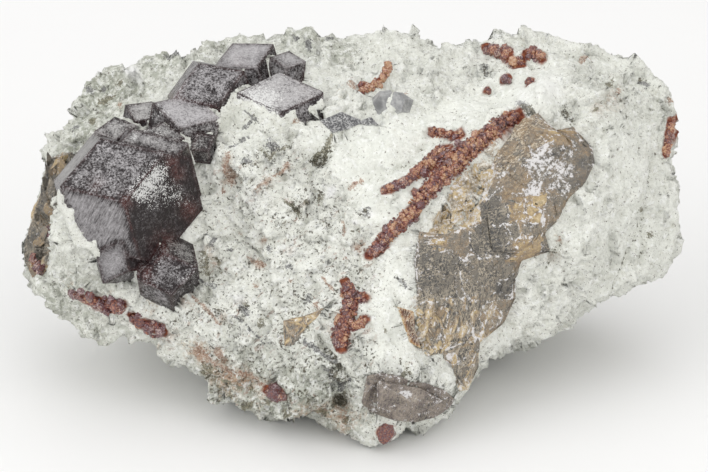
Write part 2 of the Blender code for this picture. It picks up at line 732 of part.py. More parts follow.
def rim_book_face(across, up):
    """The leaning face of the mica book at the stone's left end, further out below."""
    return -2.5 + 0.85 * (across + 36.5) + RIM_BOOK_RISE * smooth_step((4.0 - up) / 6.0)


def shrunk(face, outline):
    """A depth function that keeps off the outline, where the rock may fall away."""
    middle_x = sum(x for x, _ in outline) / len(outline)
    middle_y = sum(y for _, y in outline) / len(outline)

    def inside(across, up):
        return face(
            middle_x + (across - middle_x) * BOOK_FACE_SHARE,
            middle_y + (up - middle_y) * BOOK_FACE_SHARE,
        )

    return inside


def raised(face, rise):
    """A depth function, moved toward the viewer."""
    return lambda across, up: face(across, up) + rise


def book(name, face, outline, thickness, lift, sheets=(), grow=0.0):
    """A mica book: a slab that follows a face, with thinner sheets left on it.

    With grow it is the pocket for the book, and open to the front.
    """
    if grow:
        top = raised(face, POCKET_HEADROOM)
        bottom = raised(face, lift - thickness - POCKET_ROOM)
        return add_object(name, draped_slab(outline, top, bottom, grow))
    slab = draped_slab(outline, raised(face, lift), raised(face, lift - thickness))
    whole = add_object(name, slab)
    left = [
        add_object(
            name, draped_slab(sheet, raised(face, lift + SHEET), raised(face, lift - SHEET_ROOT))
        )
        for sheet in sheets
    ]
    if left:
        combine(whole, left, "UNION")
        keep_largest_body(whole)
    return whole


def finish(made, name, surface):
    """Names a piece and gives it its material."""
    made.name = made.data.name = name
    made.data.materials.clear()
    made.data.materials.append(surface)


def build():
    """Builds all the pieces."""
    rock_bm = rock_mesh()
    rock = ShowSide(rock_bm)
    altered_rock = material("altered_rock", (0.62, 0.63, 0.58), 0.9)
    matrix = add_object("matrix", rock_bm, altered_rock)
    garnet_dark = material("garnet_dark", (0.09, 0.035, 0.04), 0.35)
    garnet_red = material("garnet_red", (0.35, 0.09, 0.04), 0.3)
    garnet_grey = material("garnet_grey", (0.2, 0.19, 0.19), 0.4)
    mica = material("mica", (0.27, 0.2, 0.13), 0.3)

    pockets = [garnet_cluster("pocket", GAP)]
    finish(garnet_cluster("garnet_cluster"), "garnet_cluster", garnet_dark)
    for name, layout in CRUSTS.items():
        pockets.append(grain_crust("pocket", rock, grow=GAP, **layout))
        surface = garnet_grey if name.endswith("grey") else garnet_red
        finish(grain_crust(name, rock, **layout), name, surface)
    for name, layout in BOOKS.items():
        face = shrunk(rock.toward, layout["outline"])
        pockets.append(book("pocket", face, grow=GAP, **layout))
        surface = garnet_grey if name.endswith("grey") else mica
        finish(book(name, face, **layout), name, surface)
    pockets.append(book("pocket", rim_book_face, grow=GAP, **RIM_BOOK))
    finish(book("mica_rim_left", rim_book_face, **RIM_BOOK), "mica_rim_left", mica)
    combine(matrix, pockets, "DIFFERENCE")
    keep_largest_body(matrix)


for old in list(bpy.data.objects):
    bpy.data.objects.remove(old)
build()
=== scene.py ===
"""Looks for a garnet in matrix: altered rock, garnet crystals and mica, on a pale floor."""

from itertools import product
from math import cos, pi, radians, sin, sqrt

import bmesh
import bpy
import numpy as np
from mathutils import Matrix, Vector, geometry
from mathutils.bvhtree import BVHTree
from mathutils.kdtree import KDTree


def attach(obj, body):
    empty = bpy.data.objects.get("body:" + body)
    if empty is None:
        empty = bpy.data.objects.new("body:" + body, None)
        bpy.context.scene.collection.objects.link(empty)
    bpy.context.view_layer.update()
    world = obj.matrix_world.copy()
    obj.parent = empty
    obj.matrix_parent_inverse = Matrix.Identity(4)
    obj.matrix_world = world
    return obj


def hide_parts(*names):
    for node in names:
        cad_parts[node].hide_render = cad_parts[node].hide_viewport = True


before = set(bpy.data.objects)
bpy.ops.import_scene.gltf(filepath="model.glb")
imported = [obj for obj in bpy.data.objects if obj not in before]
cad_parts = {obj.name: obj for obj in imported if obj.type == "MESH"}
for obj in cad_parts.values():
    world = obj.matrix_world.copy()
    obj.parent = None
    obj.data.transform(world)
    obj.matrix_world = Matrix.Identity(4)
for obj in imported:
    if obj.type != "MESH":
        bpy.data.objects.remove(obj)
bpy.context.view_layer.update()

MM = 0.001

# The view: the stone is laid out as it is seen, in view points across and down.
VIEW_TILT = radians(25.0)
VIEW_REACH = 360.0  # millimetres from the eye to the stone's middle
VIEW_HEIGHT = 21.3  # millimetres from the floor to what the middle of the view shows
VIEW_POINT = 0.13  # millimetres for a view point, at the stone's middle
VIEW_MIDDLE = (354.0, 236.0)
VIEW_WIDTH = 708.0
SENSOR = 36.0  # the camera's, in millimetres

RIGHT = np.array((1.0, 0.0, 0.0))
UP = np.array((0.0, sin(VIEW_TILT), cos(VIEW_TILT)))
TOWARD = np.array((0.0, -cos(VIEW_TILT), sin(VIEW_TILT)))
CENTRE = np.array((0.0, 0.0, VIEW_HEIGHT))
EYE = CENTRE + TOWARD * VIEW_REACH


# --- numbers ----------------------------------------------------------------------

SEED_SHIFT = 7.31  # cells between the fields of noise of two seeds
NOISE_GAIN = 1.7  # brings smooth noise to about -1 to 1


def hashed(cells, seed):
    """A number from 0 to 1 for each whole-number cell, mixed with large primes."""
    n = cells[..., 0] * 73856093 ^ cells[..., 1] * 19349663 ^ cells[..., 2] * 83492791
    n = (n ^ (seed * 668265263)) & 0x7FFFFFFF
    n = (n ^ (n >> 13)) * 1274126177 & 0x7FFFFFFF
    n = (n ^ (n >> 16)) * 1103515245 & 0x7FFFFFFF
    return ((n >> 8) & 0x3FFFFF) / 0x3FFFFF


def soft_noise(points, size, seed=0):
    """Smooth noise, about -1 to 1, with features of a size."""
    at = points / size + seed * SEED_SHIFT
    cell = np.floor(at).astype(np.int64)
    part = at - cell
    ease = part**3 * (part * (part * 6 - 15) + 10)
    total = np.zeros(len(points))
    for corner in product((0, 1), repeat=3):
        corner = np.array(corner)
        weight = np.prod(np.where(corner, ease, 1 - ease), axis=1)
        away = part - corner
        for axis in range(3):
            slope = hashed(cell + corner, seed * 3 + axis) * 2 - 1
            total += weight * away[:, axis] * slope
    return total * NOISE_GAIN


def layered(points, size, layers=3, seed=0):
    """Smooth noise with finer and fainter noise added."""
    return sum(soft_noise(points, size / 2**i, seed + i) / 2**i for i in range(layers))


def noise_ways(points, size, seed, count=3):
    """Smooth noise of its own along each of several axes."""
    return np.stack([soft_noise(points, size, seed + i) for i in range(count)], axis=1)


def cell_noise(points, size, seed=0):
    """The distance to the nearest of scattered middles, as a share of the size, with
    that middle's own number and the way from it."""
    at = points / size
    base = np.floor(at).astype(np.int64)
    nearest = np.full(len(points), 9.0)
    own = np.zeros(len(points))
    away = np.zeros((len(points), 3))
    for shift in product((-1, 0, 1), repeat=3):
        cell = base + np.array(shift)
        middle = cell + np.stack([hashed(cell, seed * 5 + i) for i in (1, 2, 3)], axis=1)
        offset = at - middle
        distance = np.linalg.norm(offset, axis=1)
        closer = distance < nearest
        own[closer] = hashed(cell, seed * 5 + 4)[closer]
        away[closer] = offset[closer]
        nearest[closer] = distance[closer]
    return nearest, own, away


def chipped(points, size, tilt, seed=0):
    """Height of small broken faces: each cell is a flat face with a tilt of its own."""
    _, _, away = cell_noise(points, size, seed)
    cell = np.round((points / size - away) * 64).astype(np.int64)
    lean = np.stack([hashed(cell, seed + 50 + i) for i in range(3)], axis=1) * 2 - 1
    return np.sum(lean * away, axis=1) * size * tilt


def step(value, low, high):
    """0 below low, 1 above high, soft between."""
    t = np.clip((value - low) / (high - low), 0.0, 1.0)
    return t * t * (3 - 2 * t)


def fading(distance, width):
    """1 at no distance, falling off softly over a width."""
    return np.exp(-((distance / width) ** 2))


# --- the view -----------------------------------------------------------------------


def seen(points):
    """Where points in millimetres are seen: view points across and down."""
    offset = points - CENTRE
    nearing = (VIEW_REACH - offset @ TOWARD) / VIEW_REACH
    across = offset @ RIGHT / nearing / VIEW_POINT
    up = offset @ UP / nearing / VIEW_POINT
    return np.stack((VIEW_MIDDLE[0] + across, VIEW_MIDDLE[1] - up), axis=1)


def sight_line(x, y):
    """The direction from the eye through a view point."""
    across = (x - VIEW_MIDDLE[0]) * VIEW_POINT
    up = (VIEW_MIDDLE[1] - y) * VIEW_POINT
    way = CENTRE + RIGHT * across + UP * up - EYE
    return way / np.linalg.norm(way)


def facing(points, normals):
    """How squarely places face the eye: about 1 straight on, below 0 turned away."""
    return np.sum(normals * (EYE - points), axis=1) / VIEW_REACH


def path_distance(spots, path):
    """The distance from spots to a path, in view points."""
    path = np.array(path, dtype=float)[:, :2]
    best = np.full(len(spots), 1e9)
    for a, b in zip(path[:-1], path[1:]):
        along = b - a
        share = np.clip((spots - a) @ along / max(along @ along, 1e-9), 0.0, 1.0)
        best = np.minimum(best, np.linalg.norm(spots - a - share[:, None] * along, axis=1))
    return best


def depth_inside(spots, outline):
    """How far spots are inside an outline (below 0 outside), in view points."""
    outline = np.array(outline, dtype=float)
    inside = np.zeros(len(spots), dtype=bool)
    x, y = spots[:, 0], spots[:, 1]
    for a, b in zip(outline, np.roll(outline, -1, axis=0)):
        if a[1] == b[1]:
            continue
        crosses = (a[1] > y) != (b[1] > y)
        inside ^= crosses & (x < (b[0] - a[0]) * (y - a[1]) / (b[1] - a[1]) + a[0])
    distance = path_distance(spots, np.vstack((outline, outline[:1])))
    return np.where(inside, distance, -distance)


def spotted(spots, marks):
    """The sum of soft round marks (x, y, radius, amount)."""
    total = np.zeros(len(spots))
    for x, y, radius, amount in marks:
        total += amount * np.exp(-((spots[:, 0] - x) ** 2 + (spots[:, 1] - y) ** 2) / radius**2)
    return total


# --- meshes --------------------------------------------------------------------------

SAME_POINT = 0.002  # millimetres between split corners of a CAD node, at most


def mesh_arrays(mesh):
    """A mesh's points in millimetres and its triangles."""
    points = np.empty(len(mesh.vertices) * 3, dtype=np.float32)
    mesh.vertices.foreach_get("co", points)
    mesh.calc_loop_triangles()
    triangles = np.empty(len(mesh.loop_triangles) * 3, dtype=np.int32)
    mesh.loop_triangles.foreach_get("vertices", triangles)
    return points.reshape(-1, 3).astype(float) / MM, triangles.reshape(-1, 3)


def node_bmesh(node):
    """A CAD node's mesh in millimetres, with its split corners joined again."""
    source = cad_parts[node]
    bm = bmesh.new()
    bm.from_mesh(source.data)
    bmesh.ops.transform(bm, matrix=source.matrix_world, verts=bm.verts)
    bmesh.ops.scale(bm, vec=(1 / MM,) * 3, verts=bm.verts)
    bmesh.ops.remove_doubles(bm, verts=bm.verts, dist=SAME_POINT)
    bm.normal_update()
    return bm


def new_object(name, points, faces, surface=None):
    """An object from points in millimetres and lists of corners."""
    mesh = bpy.data.meshes.new(name)
    faces = [list(map(int, face)) for face in faces]
    mesh.from_pydata((np.asarray(points) * MM).tolist(), [], faces)
    mesh.update()
    if surface:
        mesh.materials.append(surface)
    made = bpy.data.objects.new(name, mesh)
    bpy.context.collection.objects.link(made)
    return made


def paint(made, name, channels):
    """Stores three values from 0 to 1 for each point, for a material to read."""
    values = np.ones((len(made.data.vertices), 4), dtype=np.float32)
    for i, channel in enumerate(channels):
        values[:, i] = np.clip(channel, 0.0, 1.0)
    layer = made.data.attributes.new(name, "FLOAT_COLOR", "POINT")
    layer.data.foreach_set("color", values.ravel())


def applied(made):
    """The object's mesh with its modifiers applied."""
    depsgraph = bpy.context.evaluated_depsgraph_get()
    return bpy.data.meshes.new_from_object(made.evaluated_get(depsgraph))


def point_normals(mesh):
    """A mesh's normals at its points."""
    normals = np.empty(len(mesh.vertices) * 3, dtype=np.float32)
    mesh.vertex_normals.foreach_get("vector", normals)
    return normals.reshape(-1, 3).astype(float)


def settle(made, node=None, smooth=False):
    """Hands a finished piece to the frame, in place of its CAD node if it has one."""
    made.data.polygons.foreach_set("use_smooth", [smooth] * len(made.data.polygons))
    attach(made, "root")
    if node:
        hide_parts(node)


# --- materials -------------------------------------------------------------------------


class Paints:
    """A material under construction, with short ways to add nodes and lay on colours."""

    def __init__(self, name):
        self.material = bpy.data.materials.new(name)
        self.material.use_nodes = True
        self.nodes = self.material.node_tree.nodes
        self.links = self.material.node_tree.links
        self.shader = self.nodes["Principled BSDF"]
        self.place = self.add("ShaderNodeTexCoord").outputs["Object"]
        self.colour = None

    def add(self, kind, **settings):
        node = self.nodes.new(kind)
        for name, value in settings.items():
            setattr(node, name, value)
        return node

    def put(self, socket, value):
        """Links an output to a socket, or sets its own number, vector (a list) or colour."""
        if isinstance(value, bpy.types.NodeSocket):
            self.links.new(value, socket)
        elif isinstance(value, tuple):
            socket.default_value = (*value, 1.0)
        else:
            socket.default_value = value

    def finish(self, **inputs):
        """Sets the shader's inputs, and gives the material."""
        self.put(self.shader.inputs["Base Color"], self.colour)
        for name, value in inputs.items():
            self.put(self.shader.inputs[name.replace("_", " ")], value)
        return self.material

    def mathed(self, operation, a, b=0.0):
        node = self.add("ShaderNodeMath", operation=operation)
        self.put(node.inputs[0], a)
        self.put(node.inputs[1], b)
        return node.outputs[0]

    def vectors(self, operation, a, b):
        node = self.add("ShaderNodeVectorMath", operation=operation)
        self.put(node.inputs[0], a)
        self.put(node.inputs[1], b)
        return node.outputs[0]

    def times(self, a, b):
        return self.mathed("MULTIPLY", a, b)

    def plus(self, a, b):
        return self.mathed("ADD", a, b)

    def most(self, a, b):
        return self.mathed("MAXIMUM", a, b)

    def centred(self, value, amount):
        """Noise from 0 to 1 turned into noise around 0, of an amount."""
        return self.times(self.mathed("SUBTRACT", value, 0.5), amount)

    def mix(self, share, a, b):
        """Colour a, turning into colour b by a share."""
        node = self.add("ShaderNodeMix", data_type="RGBA")
        self.put(node.inputs[0], share)
        self.put(node.inputs[6], a)
        self.put(node.inputs[7], b)
        return node.outputs[2]

    def lay(self, share, colour, cover=None):
        """Lays a colour over the colour so far by a share, and by how well it covers."""
        if cover is not None:
            share = self.times(share, cover)
        self.colour = self.mix(share, self.colour, colour)

    def between(self, value, low, high, start=0.0, end=1.0):
        """start below low, end above high, soft between."""
        node = self.add("ShaderNodeMapRange", interpolation_type="SMOOTHSTEP")
        for socket, number in zip(node.inputs, (value, low, high, start, end)):
            self.put(socket, number)
        return node.outputs[0]

    def eased(self, amount, start, end):
        """start where an amount is 0, end where it is 1."""
        return self.between(amount, 0.0, 1.0, start, end)

    def shifted(self, amount):
        """The place, moved so that a noise used twice differs."""
        return self.vectors("ADD", self.place, [amount, -0.7 * amount, 0.4 * amount])

    def stretched(self, turn, scale):
        """The place, turned and then scaled along its axes."""
        node = self.add("ShaderNodeMapping", vector_type="TEXTURE")
        self.put(node.inputs["Vector"], self.place)
        node.inputs["Rotation"].default_value = [radians(angle) for angle in turn]
        node.inputs["Scale"].default_value = scale
        return node.outputs[0]

    def bent(self, size, amount):
        """The place, moved about by noise of a size, by an amount in millimetres."""
        colour = self.texture("Noise", size, self.place, Detail=1.0)["Color"]
        centred = self.vectors("SUBTRACT", colour, [0.5] * 3)
        moved = self.vectors("MULTIPLY", centred, [amount * MM * 2] * 3)
        return self.vectors("ADD", self.place, moved)

    def texture(self, kind, size, vector, **inputs):
        """A texture with features of a size in millimetres."""
        node = self.add("ShaderNodeTex" + kind)
        for name, value in dict(inputs, Vector=vector, Scale=1 / (size * MM)).items():
            self.put(node.inputs[name], value)
        return node.outputs

    def noise(self, size, detail=2.0, roughness=0.5, shift=None, vector=None):
        """Noise from 0 to 1 with features of a size in millimetres."""
        vector = vector or (self.shifted(shift) if shift else self.place)
        return self.texture("Noise", size, vector, Detail=detail, Roughness=roughness)["Fac"]

    def painted(self, name):
        """The three painted values of a piece."""
        source = self.add("ShaderNodeAttribute", attribute_name=name)
        node = self.add("ShaderNodeSeparateColor")
        self.put(node.inputs[0], source.outputs["Color"])
        return node.outputs[:3]

    def bump(self, height, depth, strength=1.0):
        """Bumps of a depth in millimetres."""
        node = self.add("ShaderNodeBump")
        self.put(node.inputs["Height"], height)
        node.inputs["Distance"].default_value = depth * MM
        node.inputs["Strength"].default_value = strength
        self.put(self.shader.inputs["Normal"], node.outputs[0])


def hairs(paints, value, width):
    """Thin winding lines, where a noise passes its middle."""
    off = paints.mathed("ABSOLUTE", paints.mathed("SUBTRACT", value, 0.5))
    return paints.between(off, width * 0.3, width, 1.0, 0.0)


def pepper(paints, noise, amount, least, most):
    """1 where a noise passes a limit, which falls from least to most with an amount."""
    limit = paints.eased(amount, least, most)
    return paints.between(paints.mathed("SUBTRACT", noise, limit), 0.0, 0.035)


def fibres(paints):
    """A felt of short fibres at several angles: 1 on a fibre."""
    total = 0.0
    for turn, length in (
        ((0, 10, 20), 7.0), ((0, 48, 0), 6.0), ((0, -30, 40), 5.0), ((0, 80, 10), 5.0),
    ):
        along = paints.stretched(turn, (0.75, 0.75, length))
        fibre = paints.between(paints.noise(0.24, 2.0, 0.6, vector=along), 0.57, 0.62)
        total = paints.most(total, fibre)
    return total


def rock_material():
    """Pale altered rock: chalky and greenish, with dark specks and brown stains, and painted shade
    in its hollows, along its cracks and under its foot.
    """
    paints = Paints("altered_rock")
    specky, green_and_foot_shade, stain_and_foot_shade = paints.painted("zones")
    dark, hollow_shade, white = paints.painted("marks")
    vein, tan_and_foot_shade, smooth = paints.painted("seams")
    olive, rosy, slate = paints.painted("strokes")
    between, noise, lay = paints.between, paints.noise, paints.lay
    sugar = noise(0.26, 3.0, 0.7)
    spread = noise(0.55, 4.0, 0.7, shift=0.051)
    grit = noise(0.42, 5.0, 0.78, shift=0.161)

    # Pale ground, with greyer, greener and browner patches. Along the foot these are partly
    # painted shade of its underside.
    mottle = between(noise(2.6, 5.0, 0.62), 0.36, 0.66)
    paints.colour = paints.mix(mottle, (0.86, 0.87, 0.815), (0.78, 0.79, 0.73))
    lay(between(sugar, 0.48, 0.62), (0.42, 0.425, 0.365), paints.eased(smooth, 0.22, 0.26))
    veil = between(noise(1.9, 5.0, 0.7, shift=0.19), 0.40, 0.60, 0.25, 0.85)
    lay(smooth, (0.725, 0.74, 0.69), veil)
    patch = between(noise(1.25, 5.0, 0.7, shift=0.031), 0.58, 0.61)
    lay(patch, (0.42, 0.41, 0.32), paints.eased(specky, 0.12, 0.32))
    greyer = between(noise(1.0, 5.0, 0.72, shift=0.083), 0.38, 0.58)
    lay(paints.times(green_and_foot_shade, greyer), (0.36, 0.375, 0.31), 0.85)
    dusky = between(noise(0.7, 4.0, 0.7, shift=0.12), 0.56, 0.66)
    lay(paints.times(green_and_foot_shade, dusky), (0.095, 0.095, 0.070), 0.85)
    streak = noise(1.0, 3.0, 0.65, vector=paints.stretched((15, -40, 0), (2.6, 0.8, 0.9)))
    lay(between(streak, 0.61, 0.68), (0.43, 0.32, 0.27), between(specky, 0.3, 0.9, 0.0, 0.6))
    tanned = paints.mix(fibres(paints), (0.42, 0.325, 0.225), (0.74, 0.69, 0.60))
    lay(between(paints.plus(tan_and_foot_shade, paints.centred(spread, 2.2)), 0.3, 0.75), tanned, 0.85)
    lay(stain_and_foot_shade, (0.37, 0.20, 0.12), between(spread, 0.36, 0.58))

    # Specks of several sizes, and bright grains.
    density = paints.times(specky, between(noise(3.0, shift=0.017), 0.34, 0.62, 0.6, 1.0))
    fine = pepper(paints, noise(0.34), density, 0.75, 0.60)
    middling = pepper(paints, noise(0.75, 4.0, 0.65, shift=0.071), density, 0.75, 0.60)
    shape = noise(1.15, 4.0, 0.68, vector=paints.stretched((10, 35, 20), (0.7, 1.0, 2.0)))
    kind = noise(1.8, 1.0, shift=0.141)
    shade = paints.mix(between(kind, 0.42, 0.5), (0.31, 0.215, 0.17), (0.20, 0.19, 0.14))
    shade = paints.mix(between(kind, 0.53, 0.58), shade, (0.22, 0.225, 0.215))
    lay(pepper(paints, shape, density, 0.76, 0.61), shade, 0.8)
    lay(middling, (0.098, 0.083, 0.056), 0.88)
    lay(fine, (0.105, 0.095, 0.068), 0.88)
    lay(between(noise(0.8, 3.0, 0.6, shift=0.113), 0.57, 0.62), (0.91, 0.92, 0.90), 0.6)

    # Marks that belong to one place. The dark marks are partly painted shade: in the dents, along
    # the grooves, beside the large crystal and under the foot; so are the olive marks along the
    # foot.
    for amount, wander, low, high, cover, sugar_ends, tint, other in (
        (olive, 4.2, 0.42, 0.60, 0.85, (0.44, 0.58), (0.105, 0.098, 0.060), (0.30, 0.28, 0.20)),
        (rosy, 4.2, 0.42, 0.60, 0.85, (0.44, 0.58), (0.30, 0.165, 0.11), (0.62, 0.51, 0.42)),
        (slate, 4.2, 0.42, 0.60, 0.85, (0.44, 0.58), (0.075, 0.075, 0.078), (0.36, 0.36, 0.36)),
        (dark, 3.4, 0.45, 0.60, 0.92, (0.42, 0.62), (0.050, 0.047, 0.036), (0.25, 0.235, 0.18)),
    ):
        here = between(paints.plus(amount, paints.centred(grit, wander)), low, high)
        lay(here, paints.mix(between(sugar, *sugar_ends), tint, other), cover)
    # Painted shade: the rock darkened where it lies in gaps, grooves and dents.
    painted_hollow_shade = paints.times(hollow_shade, between(grit, 0.42, 0.56, 0.3, 1.2))
    lay(paints.mathed("MINIMUM", painted_hollow_shade, 1.0), (0.24, 0.225, 0.165), 0.30)
    lay(white, (0.90, 0.90, 0.89))
    lay(vein, paints.mix(between(spread, 0.35, 0.65), (0.30, 0.10, 0.05), (0.12, 0.03, 0.025)))

    chips = paints.texture("Voronoi", 0.62, paints.bent(0.5, 0.3))["Distance"]
    bumps = paints.plus(sugar, paints.times(chips, -1.1))
    bumps = paints.plus(bumps, noise(0.75, 3.0, 0.6))
    bumps = paints.times(bumps, paints.eased(smooth, 1.0, 0.45))
    paints.bump(paints.plus(bumps, paints.times(paints.plus(fine, middling), -0.35)), 0.20)
    return paints.finish(Roughness=0.92, Specular_IOR_Level=0.2)


def large_garnet_material():
    """Dark red-black garnet with a grey bloom, fine lines and pale dust. The bloom and dust also
    carry painted light, which makes some faces paler and others darker.
    """
    paints = Paints("garnet_dark")
    bloom_and_face_light, dust_and_face_light, red = paints.painted("coat_and_face_light")
    lined, mottled, olive = paints.painted("work")
    cloud = paints.noise(1.1, 6.0, 0.78)
    fine = paints.noise(0.24, 4.0, 0.75)
    lines = paints.noise(0.24, 3.0, 0.6, vector=paints.stretched((0, 27, 0), (0.8, 0.8, 14.0)))
    reddish = paints.times(red, paints.between(cloud, 0.34, 0.6))
    paints.colour = paints.mix(reddish, (0.020, 0.015, 0.016), (0.085, 0.020, 0.016))
    waver = paints.plus(
        paints.centred(cloud, paints.eased(mottled, 0.7, 2.8)),
        paints.centred(fine, paints.eased(mottled, 0.7, 3.8)),
    )
    waver = paints.plus(waver, paints.times(paints.centred(lines, lined), 1.5))
    share = paints.mathed("MINIMUM", paints.most(paints.plus(bloom_and_face_light, waver), 0.0), 1.0)
    paints.lay(share, paints.mix(olive, (0.46, 0.445, 0.455), (0.38, 0.38, 0.335)))
    stipple = paints.plus(paints.noise(0.18, 2.0, 0.6), paints.centred(cloud, 0.5))
    grain = pepper(paints, stipple, dust_and_face_light, 0.74, 0.37)
    paints.lay(grain, (0.70, 0.70, 0.69), 0.92)
    heights = paints.times(paints.plus(fine, paints.noise(0.5)), 0.8)
    heights = paints.plus(heights, paints.times(lines, lined))
    paints.bump(paints.plus(heights, paints.times(grain, 0.3)), 0.06, 0.7)
    return paints.finish(
        Roughness=paints.between(share, 0.0, 0.9, 0.24, 0.5), Specular_IOR_Level=0.3
    )


# The colours from tone 0 to tone 1 of each material.
GARNET_RAMP = (
    (0.0, (0.50, 0.30, 0.17)), (0.2, (0.34, 0.125, 0.065)), (0.42, (0.19, 0.048, 0.034)),
    (0.66, (0.075, 0.016, 0.022)), (0.85, (0.085, 0.030, 0.042)), (1.0, (0.30, 0.20, 0.21)),
)
GREY_RAMP = (
    (0.0, (0.06, 0.060, 0.061)), (0.5, (0.25, 0.252, 0.255)), (1.0, (0.62, 0.62, 0.61)),
)
MICA_RAMP = (
    (0.0, (0.045, 0.045, 0.045)), (0.25, (0.120, 0.112, 0.098)), (0.5, (0.250, 0.175, 0.105)),
    (0.75, (0.50, 0.375, 0.185)), (1.0, (0.72, 0.65, 0.52)),
)
LOW_RAMP = (
    (0.0, (0.040, 0.036, 0.038)), (0.35, (0.125, 0.102, 0.100)), (0.65, (0.26, 0.225, 0.200)),
    (1.0, (0.58, 0.53, 0.47)),
)
AMBER_RAMP = (
    (0.0, (0.08, 0.03, 0.015)), (0.35, (0.20, 0.075, 0.025)), (0.6, (0.36, 0.19, 0.07)),
    (0.8, (0.50, 0.37, 0.18)), (1.0, (0.68, 0.61, 0.47)),
)


def ramped(paints, value, stops):
    """A colour from a row of colours by a value."""
    ramp = paints.add("ShaderNodeValToRGB")
    paints.put(ramp.inputs[0], value)
    elements = ramp.color_ramp.elements
    for position, _ in stops[1:-1]:
        elements.new(position)
    for element, (_, colour) in zip(elements, stops):
        element.color = (*colour, 1.0)
    return ramp.outputs[0]


def small_garnet_material():
    """Small glossy garnets, from orange through red-brown to purple, with a pale dusty film that
    is partly dust and partly painted highlights.
    """
    paints = Paints("garnet_red")
    tone, dust_and_highlight, _ = paints.painted("tone")
    cloud = paints.between(paints.noise(0.24, 3.0, 0.7), 0.3, 0.7, -0.36, 0.36)
    paints.colour = ramped(paints, paints.plus(tone, cloud), GARNET_RAMP)
    # Pale film on some grains: dust, and painted highlights.
    film_and_highlight = paints.between(paints.noise(0.22, 3.0, 0.7), 0.47, 0.62)
    paints.lay(dust_and_highlight, (0.62, 0.44, 0.34), film_and_highlight)
    paints.bump(paints.noise(0.14, 3.0, 0.7), 0.07, 0.9)
    return paints.finish(Roughness=0.16, Specular_IOR_Level=0.8, Coat_Weight=0.2)


def grey_material():
    """Grey, dull garnet with fine darker lines."""
    paints = Paints("garnet_grey")
    tone, lined, _ = paints.painted("tone")
    crossed = 0.0
    for angle, low, high in ((52, 0.51, 0.57), (-35, 0.52, 0.58)):
        along = paints.stretched((0, angle, 0), (0.8, 0.9, 6.0))
        needles = paints.between(paints.noise(0.24, 2.0, 0.6, vector=along), low, high)
        crossed = paints.most(crossed, needles)
    lines = paints.times(crossed, lined)
    cloud = paints.between(paints.noise(0.9, 4.0, 0.65), 0.3, 0.7, -0.16, 0.16)
    paints.colour = ramped(paints, paints.plus(tone, cloud), GREY_RAMP)
    paints.lay(lines, (0.07, 0.07, 0.075))
    paints.bump(paints.mathed("SUBTRACT", paints.noise(0.3, 3.0), lines), 0.06, 0.7)
    return paints.finish(Roughness=0.45, Specular_IOR_Level=0.5)


def mica_material(name, stops):
    """Brown mica: pearly sheets with zones of tone, pale hair lines and silver films. The silver
    film also paints highlights: the glints on the blade.
    """
    paints = Paints(name)
    tone, film_and_highlight, lined = paints.painted("tone")
    felted, slanted, _ = paints.painted("hairs")
    between, noise = paints.between, paints.noise
    cloud = noise(1.3, 5.0, 0.68)
    value = paints.plus(tone, between(cloud, 0.3, 0.7, -0.13, 0.13))
    value = paints.plus(value, between(noise(0.2, 4.0, 0.75), 0.3, 0.7, -0.12, 0.12))
    paints.colour = ramped(paints, value, stops)
    steep = noise(0.7, 3.0, 0.62, vector=paints.stretched((0, 12, 0), (0.55, 0.7, 4.5)))
    leaning = noise(0.8, 3.0, 0.62, vector=paints.stretched((0, 52, 0), (0.55, 0.8, 4.0)))
    curls = paints.times(
        hairs(paints, noise(0.5, 3.0, 0.7, shift=0.027), 0.030),
        between(noise(1.7, shift=0.041), 0.45, 0.6),
    )
    felt = paints.times(
        fibres(paints), between(noise(2.2, 3.0, shift=0.033), 0.36, 0.56, 0.5, 1.0)
    )
    lines = paints.times(hairs(paints, steep, 0.042), lined)
    lines = paints.most(lines, paints.times(hairs(paints, leaning, 0.040), slanted))
    lines = paints.most(lines, paints.times(curls, 0.5))
    lines = paints.most(lines, paints.times(felt, felted))
    dusk = between(noise(0.55, 5.0, 0.75, shift=0.077), 0.51, 0.60)
    paints.lay(dusk, (0.05, 0.042, 0.036), paints.eased(felted, 0.35, 0.65))
    paints.lay(lines, (0.72, 0.625, 0.48), 0.70)
    # Silver film, which on the blade paints its pale glints: a painted highlight.
    frost_and_highlight = paints.plus(film_and_highlight, paints.centred(noise(0.5, 6.0, 0.8, shift=0.061), 4.6))
    silver_and_highlight = between(frost_and_highlight, 0.48, 0.66)
    paints.lay(silver_and_highlight, (0.75, 0.735, 0.735), 0.92)
    heights = paints.plus(noise(0.35, 3.0, 0.7), paints.times(lines, 0.5))
    paints.bump(paints.plus(heights, paints.times(silver_and_highlight, 0.4)), 0.07, 0.7)
    return paints.finish(Roughness=between(cloud, 0.3, 0.7, 0.3, 0.5), Specular_IOR_Level=0.5)


# --- the rock ----------------------------------------------------------------------------

CRYSTAL_NODES = sorted(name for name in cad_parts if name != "matrix")
GAP_FILL = 0.42  # how far a crystal grows to close the narrow gap around it
VOXEL = 0.30  # between the rock's points
SINK = {"deep": 0.35, "thin": 0.12}  # how far the rock reaches in under a crystal
MEETING = {"deep": 1.05, "thin": 0.62, "core": 0.58}  # how near the rock is drawn to one
SLOPE = 0.40  # over what distance it slopes down under one
TOUCHING = 0.05  # so near a crystal that its own normal says which way is out
CORE_COAT = 0.02  # the rock's height over a string's core
COVER_COAT = 0.10  # its height over a crystal's corner, before what varies
TUCK_FROM = (-0.25, 1.6)  # how far before a crystal's face the rock still goes behind it
TUCKED = 0.4  # how far behind the face it lies instead
GAP_DEPTH = 1.7  # how far the rock draws back in a narrow gap
FOOT_LEVEL = 0.12  # below this height the rock is part of its flat foot
